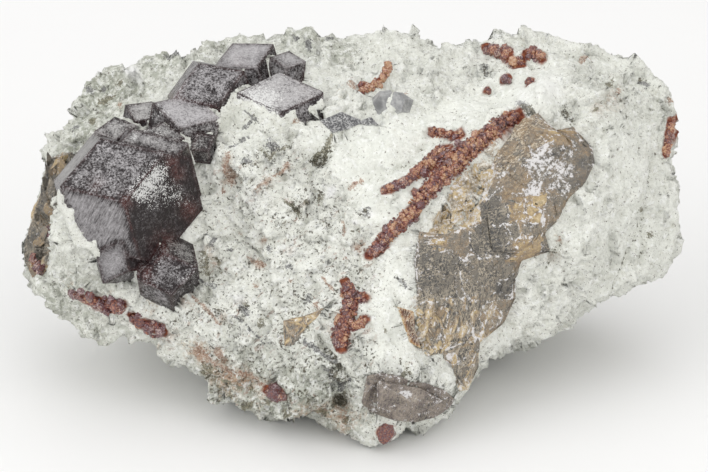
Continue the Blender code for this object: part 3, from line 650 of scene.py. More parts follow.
# Narrow gaps between crystals where no rock shows: view point, reach, amount.
GAPS = (
    (152, 250, 6, 1.0), (157, 262, 6, 1.0), (148, 262, 6, 1.0), (143, 268, 5, 0.8),
    (130, 262, 4, 0.6), (199, 128, 4, 1.0), (203, 122, 5, 1.0), (211, 119, 4, 0.8),
    (199, 138, 4, 1.0), (198, 148, 4, 0.8), (377, 386, 4, 0.9), (378, 394, 4, 0.9),
    (379, 402, 4, 0.8), (416, 322, 4, 0.8), (417, 334, 4, 0.8), (419, 345, 4, 0.7),
    (176, 103, 4, 0.6), (160, 118, 4, 0.6),
)
LIP = 1.7  # how far from a crystal the rock climbs it
FRONT_SHARE = 0.62  # of the triangles, the ones that are kept

# Parts of the rock: more speckled, greener, and chalky and smooth.
SPECKY = (
    (205, 165), (255, 150), (300, 150), (345, 185), (362, 225), (392, 262), (400, 300), (372, 342),
    (400, 360), (415, 385), (352, 410), (300, 405), (235, 392), (190, 345), (150, 325), (160, 305),
    (205, 280), (212, 235),
)
GREEN = (
    (60, 175), (85, 60), (150, 55), (200, 20), (300, 20), (345, 50), (240, 40), (180, 62),
    (150, 95), (110, 115), (75, 170),
)
CHALK = (
    (300, 140), (330, 120), (420, 110), (500, 70), (560, 60), (560, 110), (520, 120), (470, 160),
    (400, 235), (415, 300), (420, 360), (370, 370), (372, 300), (385, 255), (355, 200),
)
# Cracks along ledges.
GROOVES = (
    ((420, 150), (445, 138), (470, 130)), ((398, 168), (425, 158), (450, 140)),
    ((335, 150), (352, 122), (352, 95)), ((480, 75), (510, 66), (545, 66)),
    ((655, 150), (648, 200), (640, 260)), ((650, 205), (625, 262), (600, 328)),
    ((562, 240), (553, 258), (546, 272)), ((317, 334), (325, 349), (344, 366), (346, 388)),
    ((205, 296), (216, 312), (226, 322)), ((262, 316), (276, 330), (290, 340)),
)
# Soft round marks (x, y, radius, amount): hollows, swellings, and marks of a colour.
DENTS = (
    (323, 160, 7, 1.1), (570, 113, 7, 1.2), (340, 401, 6, 1.6), (297, 207, 6, 0.6),
    (252, 117, 6, 0.5), (236, 180, 5, 0.4), (366, 214, 6, 0.4), (228, 405, 8, 0.8),
    (68, 165, 8, 1.0), (555, 260, 5, 0.6),
)
KNOBS = (
    (133, 75, 9, 0.5), (545, 90, 11, 0.6), (310, 35, 9, 0.4), (400, 45, 10, 0.4),
    (440, 45, 9, 0.3), (500, 38, 9, 0.3), (310, 370, 16, 0.7), (285, 412, 10, 0.4),
    (332, 191, 6, 0.2), (240, 300, 10, 0.3),
)
# Dark marks, most of them the rock's own dark grains. Those near (322, 161), (570, 116), (298,
# 208), (365, 211), (341, 399), (556, 254) and (252, 118) lie in the dents and paint the shade in
# them; those near (207, 213) and (214, 250) paint the shade beside the large crystal's right side,
# and the one at (215, 405) the shade under the foot.
DARK_MARKS = (
    (322, 161, 6, 0.75), (330, 148, 4, 0.5), (315, 159, 4, 0.5), (327, 155, 5, 0.5),
    (570, 116, 6, 0.6), (567, 108, 5, 0.55), (365, 211, 3, 0.9), (361, 216, 2.5, 0.8),
    (369, 217, 2.5, 0.7), (298, 208, 3.5, 0.9), (293, 202, 3, 0.8), (302, 205, 2.5, 0.7),
    (341, 399, 3.5, 0.9), (337, 403, 3, 0.8), (333, 406, 2.5, 0.7), (344, 394, 2.5, 0.9),
    (345, 403, 2, 0.8), (524, 108, 4, 0.9), (531, 108, 3, 1.0), (517, 112, 3, 0.5),
    (333, 375, 6, 0.55), (340, 381, 6, 0.6), (337, 368, 5, 0.55), (325, 352, 4, 0.45),
    (332, 360, 4, 0.6), (340, 366, 3, 0.8), (556, 254, 3, 0.7), (549, 266, 3, 0.5),
    (274, 160, 4, 0.6), (268, 150, 3, 0.5), (284, 152, 3, 0.5), (247, 166, 3, 0.6),
    (253, 164, 3, 0.6), (297, 284, 4, 0.4), (243, 306, 4, 0.6), (240, 312, 3, 0.5),
    (641, 78, 3, 0.8), (647, 80, 2, 0.6), (660, 88, 3, 0.6), (626, 117, 3, 0.7),
    (477, 66, 2.5, 0.8), (484, 69, 2.5, 0.7), (207, 213, 4, 0.5), (214, 250, 3, 0.5),
    (249, 118, 2.5, 0.7), (252, 122, 1.5, 0.7), (255, 116, 2, 0.6), (333, 183, 2, 0.7),
    (400, 284, 2.2, 0.8), (404, 281, 1.8, 0.8), (398, 279, 1.5, 0.7), (215, 405, 6, 0.4),
)
WHITE_MARKS = (
    (332, 190, 5, 1.0), (329, 196, 4, 0.8), (133, 72, 7, 0.9), (140, 80, 5, 0.6),
    (449, 355, 4, 0.9), (524, 96, 9, 0.4), (549, 88, 12, 0.5), (372, 214, 3, 0.8),
    (240, 299, 5, 0.7), (258, 200, 9, 0.3), (290, 250, 8, 0.3), (355, 222, 3, 0.6),
)
# Brown stains. The ones along the foot, near y 350 to 420, are partly painted shade of its
# underside.
STAINS_AND_FOOT_SHADE = (
    (228, 168, 5, 0.9), (230, 177, 4, 0.7), (224, 182, 4, 0.6), (287, 167, 4, 0.8),
    (281, 173, 4, 0.7), (262, 187, 5, 0.6), (268, 182, 4, 0.6), (257, 191, 4, 0.5),
    (199, 353, 7, 0.9), (206, 360, 6, 0.7), (228, 375, 12, 0.6), (245, 383, 10, 0.5),
    (306, 203, 4, 0.6), (357, 246, 5, 0.5), (360, 252, 3, 0.6), (212, 262, 6, 0.5),
    (209, 250, 5, 0.4), (185, 303, 5, 0.6), (170, 335, 6, 0.6), (612, 100, 10, 0.3),
    (597, 110, 6, 0.4), (553, 256, 6, 0.5), (500, 128, 8, 0.3), (340, 408, 10, 0.6),
    (318, 412, 9, 0.7), (300, 418, 7, 0.5), (345, 420, 9, 0.6), (262, 240, 4, 0.6),
    (330, 330, 4, 0.4), (222, 317, 5, 0.5), (254, 262, 4, 0.4), (289, 249, 4, 0.5),
)
# Drawn-out marks of a colour: the width, then the path's points.
STROKES = {
    # The olive marks along the foot, near y 370 to 420, are partly painted shade of its underside.
    "olive": (
        (2.2, 284, 200, 292, 204), (3.0, 293, 205, 300, 216), (2.0, 205, 252, 208, 272),
        (1.6, 217, 258, 219, 272), (5.0, 259, 323), (3.5, 322, 195), (3.0, 306, 203),
        (4.5, 318, 158, 326, 152, 331, 138), (2.5, 240, 300, 246, 306),
        (3.5, 286, 345, 296, 336, 310, 326), (4.0, 556, 252), (3.0, 204, 365, 212, 372),
        (2.2, 262, 150, 270, 158, 276, 150), (1.8, 268, 142, 280, 150, 290, 144), (2.5, 352, 232),
        (3.0, 395, 305), (2.5, 385, 330), (3.0, 405, 370), (4.0, 610, 84), (3.0, 596, 110),
        (3.0, 640, 210), (3.5, 650, 235), (2.6, 202, 372, 207, 380), (2.6, 214, 388, 219, 393),
        (3.2, 230, 396), (2.2, 243, 402, 252, 404), (3.0, 268, 405), (2.2, 286, 410, 292, 411),
        (2.2, 224, 380, 232, 384), (2.8, 250, 391), (2.4, 318, 410, 326, 414), (3.0, 346, 420),
        (2.4, 308, 404), (2.4, 212, 378), (2.2, 238, 388), (3.5, 100, 100, 112, 96),
        (4.0, 92, 120), (4.0, 120, 84), (3.5, 140, 98),
    ),
    "rosy": (
        (3.2, 231, 157, 227, 170, 229, 184), (3.0, 222, 191), (2.0, 288, 162, 281, 173),
        (1.5, 281, 173, 260, 183, 256, 189), (3.0, 252, 260, 261, 263), (2.2, 291, 281),
        (3.0, 315, 304), (1.5, 343, 222, 344, 234), (2.5, 357, 248, 362, 243), (2.5, 254, 286),
        (3.5, 262, 388, 284, 398), (3.0, 208, 360, 232, 374), (1.6, 194, 296, 206, 309, 220, 323),
        (1.4, 322, 277, 333, 290), (4.5, 196, 350, 203, 356), (5.0, 217, 352, 223, 360),
        (3.0, 240, 372, 262, 384), (2.5, 262, 240), (2.0, 345, 258), (2.0, 378, 240),
        (2.0, 238, 232), (4.0, 303, 118), (3.0, 296, 122), (3.0, 352, 88), (3.0, 405, 95),
        (3.5, 670, 100), (3.0, 618, 90), (2.0, 580, 62, 590, 60), (2.4, 350, 186, 362, 180),
        (3.0, 560, 240), (3.0, 120, 105), (3.0, 96, 142),
    ),
    "slate": (
        (5.0, 248, 162), (8.0, 273, 145), (5.5, 366, 212), (4.0, 290, 267), (4.5, 306, 298),
        (4.5, 242, 308, 246, 314), (1.2, 236, 317, 263, 344), (3.0, 306, 342, 325, 356, 342, 366),
        (1.4, 245, 111, 252, 117, 258, 124), (1.2, 252, 117, 251, 124), (1.2, 232, 150, 246, 136),
        (1.2, 241, 128, 256, 118), (4.0, 520, 104, 532, 112), (4.5, 330, 372, 342, 386),
        (2.5, 640, 80, 648, 84), (2.0, 478, 66, 486, 70), (2.5, 398, 279, 406, 285),
        (4.0, 212, 285), (3.5, 196, 268, 204, 282), (3.0, 230, 250), (3.0, 270, 250),
        (2.5, 328, 262), (2.5, 210, 245, 216, 238), (3.0, 350, 380), (4.0, 240, 405),
        (4.0, 225, 400), (4.0, 90, 90), (3.5, 104, 88), (4.0, 76, 128), (3.0, 170, 60, 182, 58),
        (4.0, 330, 42), (3.0, 345, 36), (4.0, 308, 44), (3.0, 296, 40),
    ),
}
# Patches where the rock is greener and more speckled. The ones along the foot, near y 385 to 420,
# are partly its olive colour and partly painted shade of its underside.
MOTTLES_AND_FOOT_SHADE = (
    (270, 146, 14, 0.8), (240, 118, 12, 0.4), (212, 262, 16, 0.9), (205, 285, 14, 0.7),
    (195, 310, 14, 0.5), (240, 395, 18, 1.5), (218, 388, 16, 1.5), (264, 402, 14, 1.2),
    (320, 408, 18, 1.2), (352, 420, 16, 0.8), (375, 395, 14, 0.6), (620, 100, 22, 0.8),
    (660, 110, 18, 0.8), (600, 85, 16, 0.6), (640, 200, 20, 0.4), (600, 262, 18, 0.5),
    (560, 250, 12, 0.6), (645, 250, 18, 0.4), (590, 60, 18, 0.5), (650, 70, 14, 0.5),
    (350, 50, 18, 0.6), (330, 62, 12, 0.5), (420, 60, 16, 0.3), (100, 340, 20, 0.5),
    (60, 300, 16, 0.5), (110, 290, 14, 0.4), (90, 130, 20, 0.8), (110, 90, 22, 0.9),
    (180, 62, 16, 0.7),
)
# Patches where the rock is tan. The ones along the foot, near y 350 to 420, are partly its brown
# colour and partly painted shade of its underside.
TANS_AND_FOOT_SHADE = (
    (470, 182, 12, 0.9), (458, 202, 12, 1.0), (443, 220, 10, 1.0), (428, 238, 8, 0.9),
    (424, 320, 7, 0.8), (426, 340, 7, 0.9), (222, 390, 14, 0.6), (262, 400, 14, 0.5),
    (482, 165, 9, 0.7), (498, 130, 8, 0.8), (490, 148, 8, 0.7), (416, 262, 6, 0.6),
    (414, 300, 6, 0.6), (560, 236, 8, 0.3), (210, 372, 12, 0.6), (240, 378, 14, 0.6),
    (270, 384, 12, 0.4), (200, 352, 9, 0.7), (300, 410, 12, 0.5), (330, 412, 12, 0.5),
    (360, 418, 12, 0.4), (110, 295, 12, 0.3), (150, 310, 12, 0.35), (400, 180, 6, 0.3),
    (425, 150, 8, 0.2), (520, 50, 20, 0.2), (610, 105, 12, 0.3), (672, 130, 8, 0.4),
    (70, 280, 12, 0.3), (185, 345, 12, 0.4), (160, 340, 10, 0.4), (415, 300, 6, 0.4),
    (520, 95, 8, 0.2), (345, 95, 10, 0.3), (300, 320, 10, 0.25),
)


# Rock that lies over a crystal's corner or side, in view points.
COVERS = (
    ((237, 95), (260, 104), (281, 114), (297, 108), (306, 124), (300, 142), (282, 150), (228, 140),
      (214, 122), (221, 108), (236, 90)),
    ((57, 190), (66, 200), (73, 213), (86, 237), (99, 243), (100, 258), (62, 262), (48, 200)),
    ((324, 95), (329, 108), (312, 116), (304, 112)),
)
STRING_WORDS = ("crust", "band", "patch", "foot", "grain")
THIN_NODES = ("garnet_sliver_grey", "garnet_pair_grey", "mica_flake_amber", "mica_blade")


def kind_of(node):
    """How the rock meets a node: under it, thinly under it, or as its core."""
    if node in THIN_NODES:
        return "thin"
    return "core" if any(word in node for word in STRING_WORDS) else "deep"


def joined_nodes(nodes, grown=0.0):
    """The points and faces of several nodes as one mesh, its sides moved out."""
    points, faces = [], []
    for node in nodes:
        bm = node_bmesh(node)
        start = len(points)
        points.extend(vert.co + vert.normal * grown for vert in bm.verts)
        faces.extend([start + vert.index for vert in face.verts] for face in bm.faces)
        bm.free()
    return points, faces


def joined_source():
    """All nodes in one mesh, the crystals grown a little so that they touch the rock."""
    points, faces = joined_nodes(["matrix"])
    others, more = joined_nodes(CRYSTAL_NODES, GAP_FILL)
    faces.extend([len(points) + corner for corner in face] for face in more)
    return new_object("rock_source", np.array(points + others), faces)


def crystal_trees():
    """Finds the nearest crystal surface, for each way that the rock meets a crystal."""
    return {
        kind: BVHTree.FromPolygons(
            *joined_nodes([node for node in CRYSTAL_NODES if kind_of(node) == kind])
        )
        for kind in ("deep", "thin", "core")
    }


def keep_largest(mesh):
    """Drops every body of a mesh but the largest."""
    bm = bmesh.new()
    bm.from_mesh(mesh)
    unseen = set(bm.verts)
    bodies = []
    while unseen:
        front, body = [unseen.pop()], []
        while front:
            vert = front.pop()
            body.append(vert)
            others = unseen.intersection(edge.other_vert(vert) for edge in vert.link_edges)
            unseen -= others
            front.extend(others)
        bodies.append(body)
    bodies.sort(key=len)
    for body in bodies[:-1]:
        bmesh.ops.delete(bm, geom=body, context="VERTS")
    bm.to_mesh(mesh)
    bm.free()


def remeshed_rock():
    """The rock in an even mesh, coarser where it isn't seen from the front."""
    source = joined_source()
    modifier = source.modifiers.new("even", "REMESH")
    modifier.mode = "VOXEL"
    modifier.voxel_size = VOXEL * MM * 1.0
    mesh = applied(source)
    bpy.data.objects.remove(source)
    keep_largest(mesh)
    rock = bpy.data.objects.new("rock", mesh)
    bpy.context.collection.objects.link(rock)
    hidden = facing(mesh_arrays(mesh)[0], point_normals(mesh)) < -0.05
    group = rock.vertex_groups.new(name="hidden")
    group.add(np.flatnonzero(hidden).tolist(), 1.0, "REPLACE")
    modifier = rock.modifiers.new("coarser", "DECIMATE")
    modifier.ratio = FRONT_SHARE
    modifier.vertex_group = "hidden"
    rock.data = applied(rock)
    rock.modifiers.clear()
    rock.vertex_groups.clear()
    return rock


def rock_relief(points, spots, shown):
    """Height to add to the rock, and how much painted shade each place gets for lying in a gap,
    groove or dent.
    """
    specky = step(depth_inside(spots, SPECKY), -20, 20)
    chalk = step(depth_inside(spots, CHALK), -14, 14) * shown
    plain = 0.5 * step(spots[:, 0], 590, 640) * step(spots[:, 1], 110, 150) * shown
    rough = 1.0 - 0.7 * np.maximum(chalk, plain)
    warp = noise_ways(points, 1.5, 40)
    wobbled = points + 0.6 * warp
    height = chipped(wobbled, 3.8, 0.36, 1) * rough
    height += chipped(wobbled + 0.3 * warp, 1.6, 0.34, 2) * rough * (0.7 + 0.3 * specky)
    height += layered(points, 2.6, 4, 5) * 0.24 * (0.45 + 0.55 * rough)
    height += layered(points, 0.95, 2, 9) * 0.13 * rough
    gaps = step(-layered(wobbled, 1.5, 3, 15), 0.42, 0.75) * rough
    height -= gaps * 0.30 * (0.6 + 0.4 * specky)
    # Painted shade for the hollows: most in the gaps, less along the grooves and in the dents.
    hollow_shade = gaps * 0.6
    for groove in GROOVES:
        near = fading(path_distance(spots, groove), 2.6) * shown
        height -= near * 0.45
        hollow_shade += near * 0.2
    dents = spotted(spots, DENTS) * shown
    height += spotted(spots, KNOBS) * shown - dents
    return height, hollow_shade + dents * 0.15


def nearest_crystal(trees, point):
    """The nearest crystal: how far out of it a point is, how the rock meets it, the
    place on it and the way out of it there. Nothing if none is within LIP."""
    best = None
    for kind, tree in trees.items():
        place, normal, _, distance = tree.find_nearest(Vector(point), LIP)
        if place is None:
            continue
        outside = (Vector(point) - place).dot(normal) > 0
        signed = distance if outside else -distance
        if best is None or signed < best[0]:
            place = np.array(place)
            out = np.array(normal) if distance < TOUCHING else (point - place) / signed
            best = signed, kind, place, out
    return best


def meet_crystals(points, moved, normals, spots):
    """Moves the rock's points under crystals, on to the strings' cores, or over corners."""
    trees = crystal_trees()
    lip_noise = soft_noise(points, 1.1, 23)
    ragged = 3.0 * layered(points, 1.3, 2, 27) - 1.5
    cover = np.max([depth_inside(spots, outline) for outline in COVERS], axis=0) + ragged
    for i, point in enumerate(points):
        best = nearest_crystal(trees, point)
        if best is None:
            continue
        signed, kind, place, out = best
        past = signed - MEETING[kind]
        if past >= 0:
            climb = past / (LIP - MEETING[kind])
            rise = 0.9 * climb * (1.0 - climb) * max(0.0, 0.3 + lip_noise[i])
            moved[i] += normals[i] * rise
        elif kind == "core":
            moved[i] = place + out * CORE_COAT
        elif kind == "deep" and cover[i] > 0:
            cover_rise = 0.22 * min(cover[i] / 5.0, 1.0) + 0.12 * lip_noise[i]
            moved[i] = place + out * (COVER_COAT + cover_rise)
        else:
            under = place - out * SINK[kind]
            kept = np.clip(past / SLOPE + 1.0, 0.0, 1.0)
            moved[i] = under + (moved[i] - under) * kept * kept
    tuck_behind(trees["deep"], points, moved, np.flatnonzero(cover <= 0))
    sunk = np.clip(spotted(seen(moved), GAPS), 0.0, 1.0)
    return moved - TOWARD * (GAP_DEPTH * sunk)[:, None]


def tuck_behind(tree, points, moved, chosen):
    """Moves points that would show just in front of a crystal to just behind its face."""
    shove = 0.35 * noise_ways(points, 0.9, 90)
    for i in chosen:
        sight = moved[i] - EYE
        reach = np.linalg.norm(sight)
        sight /= reach
        place, _, _, far = tree.ray_cast(Vector(EYE), Vector(sight))
        if place is None or not TUCK_FROM[0] < far - reach < TUCK_FROM[1]:
            continue
        beside = moved[i] + shove[i] - EYE
        if tree.ray_cast(Vector(EYE), Vector(beside))[0] is not None:
            moved[i] = np.array(place) + sight * TUCKED


def stroked(spots, kind):
    """How near each place is to the drawn-out marks of a kind."""
    marks = np.zeros(len(spots))
    for width, *places in STROKES[kind]:
        path = np.reshape(places[:2] + places, (-1, 2))
        marks = np.maximum(marks, fading(path_distance(spots, path), width))
    return marks


def string_marks(spots):
    """How near each place is to a string of small garnets."""
    marks = np.zeros(len(spots))
    for layout in STRINGS.values():
        for path in layout["paths"]:
            for a, b in zip(path[:-1], path[1:]):
                inside = 0.5 * (a[2] + b[2]) + 0.6 - path_distance(spots, (a, b))
                marks = np.maximum(marks, step(inside, -1.2, 1.2))
    return marks


def build_rock():
    """The rock: remeshed, broken up, drawn in under the crystals and marked."""
    rock = remeshed_rock()
    points, _ = mesh_arrays(rock.data)
    normals = point_normals(rock.data)
    spots = seen(points)
    shown = step(facing(points, normals), -0.1, 0.1)
    height, hollow_shade = rock_relief(points, spots, shown)
    moved = meet_crystals(points, points + normals * height[:, None], normals, spots)
    moved[:, 2] = np.maximum(moved[:, 2], 0.0)
    moved[points[:, 2] < FOOT_LEVEL, 2] = 0.0
    rock.data.vertices.foreach_set("co", (moved * MM).astype(np.float32).ravel())
    rock.data.update()

    in_specky = step(depth_inside(spots, SPECKY), -22, 22)
    in_chalk = step(depth_inside(spots, CHALK), -8, 12)
    # Towards the bottom the rock is made more speckled, greener and browner: by low, by the green
    # term for the lower left, and by the mottles, tans and stains along the foot. This is partly
    # its own olive-brown colour and partly painted shade of the foot's underside.
    mottles_and_foot_shade = spotted(spots, MOTTLES_AND_FOOT_SHADE)
    low = step(spots[:, 1], 300, 380)
    specky = 0.42 + (0.46 * in_specky - 0.26 * in_chalk + 0.26 * low + 0.12 * mottles_and_foot_shade) * shown
    green_and_foot_shade = 0.95 * step(depth_inside(spots, GREEN), -24, 16) + 0.5 * mottles_and_foot_shade
    green_and_foot_shade += 0.7 * step(135 - spots[:, 0], 0, 60) * step(spots[:, 1], 235, 290)
    green_and_foot_shade += 0.8 * step(spots[:, 1], 325, 385) * step(390 - spots[:, 0], 0, 60)
    green_and_foot_shade = green_and_foot_shade * shown + 0.45 * (1 - shown)
    smooth = np.maximum(in_chalk, 0.35 * step(spots[:, 0], 560, 620)) * shown
    grooves = np.min([path_distance(spots, groove) for groove in GROOVES], axis=0)
    # Dark marks, and darker lines along the grooves: the groove lines are painted shade in the
    # cracks, and some of the marks are painted shade too.
    dark = (spotted(spots, DARK_MARKS) + 0.45 * fading(grooves, 1.3)) * shown
    stain_and_foot_shade, white, tan_and_foot_shade = (spotted(spots, marks) * shown for marks in (STAINS_AND_FOOT_SHADE, WHITE_MARKS, TANS_AND_FOOT_SHADE))
    paint(rock, "zones", (specky, green_and_foot_shade, stain_and_foot_shade))
    paint(rock, "marks", (dark, hollow_shade, white))
    paint(rock, "strokes", [stroked(spots, kind) * shown for kind in ("olive", "rosy", "slate")])
    paint(rock, "seams", (string_marks(spots) * shown, tan_and_foot_shade, smooth))
    rock.data.materials.clear()
    rock.data.materials.append(rock_material())
    settle(rock, "matrix", smooth=True)
    return rock


class Surface:
    """Finds a piece's surface along sight lines."""

    def __init__(self, piece):
        points, self.faces = mesh_arrays(piece.data)
        self.tree = BVHTree.FromPolygons(points.tolist(), self.faces.tolist())

    def seen_at(self, x, y):
        """The place that is seen at a view point, its normal and its face."""
        place, normal, face, _ = self.tree.ray_cast(Vector(EYE), Vector(sight_line(x, y)))
        if place is None:
            return None, None, None
        return np.array(place), np.array(normal), face


def nearest_of(places, points):
    """For each point, which of the places is nearest."""
    tree = KDTree(len(places))
    for i, place in enumerate(places):
        tree.insert(Vector(place), i)
    tree.balance()
    return np.array([tree.find(Vector(point))[1] for point in points])


# --- large garnets -----------------------------------------------------------------------

FACET_SPACING = 0.33
ROW_STEP = 0.866  # between rows of a net of even triangles, as a share of its spacing


def spaced_inside(outline, spacing):
    """An even net of places inside an outline, with how far each lies inside it."""
    low, high = outline.min(axis=0), outline.max(axis=0)
    rows = int((high[1] - low[1]) / (spacing * ROW_STEP)) + 1
    columns = int((high[0] - low[0]) / spacing) + 1
    grid = np.array([
        (low[0] + (c + 0.5 * (r % 2)) * spacing, low[1] + r * spacing * ROW_STEP)
        for r in range(rows + 1)
        for c in range(columns + 1)
    ])
    depth = depth_inside(grid, outline)
    chosen = depth > spacing * 0.5
    return grid[chosen], depth[chosen]


def refined_facets(node, spacing):
    """A node's flat faces with an even net of points on each.

    Gives the points, the triangles, each point's normal, how far it lies inside its
    face, and the face's number (-1 on an edge).
    """
    bm = node_bmesh(node)
    bmesh.ops.dissolve_limit(bm, angle_limit=radians(1.0), verts=bm.verts, edges=bm.edges)
    for edge in list(bm.edges):
        cuts = int(edge.calc_length() / spacing)
        start = edge.verts[0]
        rest = edge
        for i in range(cuts):
            rest, start = bmesh.utils.edge_split(rest, start, 1.0 / (cuts + 1 - i))
    bm.verts.index_update()
    bm.normal_update()
    points = [np.array(vert.co) for vert in bm.verts]
    normals = [np.array(vert.normal) for vert in bm.verts]
    inside = [0.0] * len(points)
    numbers = [-1] * len(points)
    triangles = []
    for number, face in enumerate(bm.faces):
        normal = face.normal.copy()
        side = normal.orthogonal().normalized()
        other = normal.cross(side)
        origin = face.calc_center_median()
        ring = [vert.index for vert in face.verts]
        offsets = [vert.co - origin for vert in face.verts]
        flat = [Vector((offset.dot(side), offset.dot(other))) for offset in offsets]
        grid, depth = spaced_inside(np.array(flat), spacing)
        count = len(flat)
        edges = [(i, (i + 1) % count) for i in range(count)]
        made, _, parts, sources, _, _ = geometry.delaunay_2d_cdt(
            flat + [Vector(spot) for spot in grid], edges, [list(range(count))], 1, 1e-6
        )
        places = []
        for spot, source in zip(made, sources):
            first = min(source) if source else -1
            if 0 <= first < count:
                places.append(ring[first])
                continue
            places.append(len(points))
            points.append(np.array(origin + side * spot.x + other * spot.y))
            normals.append(np.array(normal))
            inside.append(float(depth[first - count]) if first >= count else 0.0)
            numbers.append(number)
        triangles.extend([places[i] for i in part] for part in parts)
    bm.free()
    return np.array(points), triangles, np.array(normals), np.array(inside), np.array(numbers)


# Each face by a view point on it: grey bloom, fine lines, blotches, olive, fine dust.
# The bloom and dust set how pale each face looks, so they are partly painted light: the face
# at (105, 212), lower left on the main crystal, is made pale grey for the floor's reflection
# in it, and the right-hand face at (160, 205) is left darkest.
FACE_LOOKS = (
    (112, 165, 0.3, 0.6, 1.0, 0.0, 0.05), (105, 212, 0.46, 1.0, 0.05, 0.0, 0.0),
    (160, 205, 0.0, 0.0, 0.2, 0.0, 0.02), (80, 150, 0.55, 0.2, 0.5, 0.3, 0.1),
    (60, 192, 0.3, 0.4, 0.4, 0.0, 0.0), (150, 139, 0.62, 0.5, 0.6, 0.2, 0.1),
    (186, 152, 0.42, 0.0, 0.3, 1.0, 0.05), (108, 126, 0.62, 0.2, 0.8, 0.3, 0.2),
    (140, 112, 0.78, 0.4, 0.6, 0.3, 0.3), (165, 128, 0.55, 0.5, 0.6, 0.3, 0.3),
    (185, 113, 0.84, 0.9, 0.5, 0.0, 0.2), (200, 125, 0.5, 0.3, 0.8, 0.2, 0.15),
    (205, 145, 0.3, 0.0, 0.9, 0.3, 0.25), (202, 155, 0.22, 0.0, 0.6, 0.5, 0.1),
    (212, 85, 0.46, 0.0, 1.0, 0.0, 0.12), (182, 80, 0.34, 0.0, 0.6, 0.0, 0.1),
    (232, 105, 0.3, 0.0, 0.6, 0.0, 0.1), (250, 52, 0.8, 0.4, 0.4, 0.0, 0.05),
    (255, 72, 0.45, 0.0, 0.7, 0.0, 0.1), (290, 60, 0.74, 0.4, 0.4, 0.1, 0.1),
    (279, 68, 0.5, 0.0, 0.5, 0.1, 0.1), (298, 72, 0.4, 0.0, 0.6, 0.0, 0.0),
    (280, 90, 0.9, 0.5, 0.7, 0.1, 0.34), (255, 112, 0.8, 0.0, 0.6, 0.2, 0.4),
    (305, 105, 0.3, 0.3, 0.7, 0.0, 0.1), (110, 262, 0.52, 0.3, 0.3, 0.0, 0.0),
    (96, 272, 0.4, 0.2, 0.4, 0.0, 0.0), (135, 268, 0.1, 0.0, 0.3, 0.0, 0.0),
    (165, 270, 0.2, 0.0, 0.8, 0.0, 0.3), (178, 245, 0.4, 0.0, 0.7, 0.4, 0.2),
    (155, 290, 0.24, 0.0, 0.7, 0.0, 0.12), (188, 290, 0.05, 0.0, 0.6, 0.0, 0.22),
)
OTHER_FACES = (0.30, 0.1, 0.6, 0.1, 0.1)
# Where pale dust lies, where there is none, where red shows and where the crystals are pitted.
DUST = (
    (132, 200, 9, 0.5), (140, 188, 12, 0.48), (150, 177, 13, 0.42), (161, 167, 11, 0.42),
    (150, 200, 15, 0.28), (166, 187, 16, 0.3), (172, 205, 16, 0.28), (150, 217, 13, 0.26),
    (184, 195, 12, 0.2), (160, 228, 13, 0.18), (186, 212, 12, 0.18), (252, 98, 14, 0.4),
    (270, 101, 12, 0.4), (222, 85, 10, 0.18), (160, 112, 9, 0.35), (190, 275, 12, 0.1),
    (148, 132, 12, 0.25), (240, 46, 14, 0.1), (155, 262, 5, 0.6), (133, 138, 8, 0.3),
)
CLEAR = (
    (150, 240, 22, 0.9), (180, 225, 18, 0.35), (130, 205, 7, 0.5),
)
RED = (
    (126, 200, 8, 0.9), (172, 163, 8, 1.0), (178, 175, 8, 0.9), (186, 205, 9, 0.8),
    (192, 215, 9, 0.8), (165, 243, 14, 0.7), (144, 274, 9, 1.0), (97, 185, 8, 0.6),
    (240, 62, 7, 0.8), (215, 113, 8, 0.6), (304, 88, 10, 0.7), (176, 96, 9, 0.5),
)
PITTED = (
    (214, 88, 14, 1.0), (172, 225, 16, 0.5), (190, 275, 18, 0.7), (275, 106, 9, 0.6),
    (185, 140, 12, 0.5), (205, 150, 12, 0.7),
)


def face_numbers(made, numbers, spots):
    """The flat face that is seen at each spot."""
    surface = Surface(made)
    found = []
    for spot in spots:
        _, _, face = surface.seen_at(*spot)
        found.append(-1 if face is None else int(numbers[surface.faces[face]].max()))
    return found


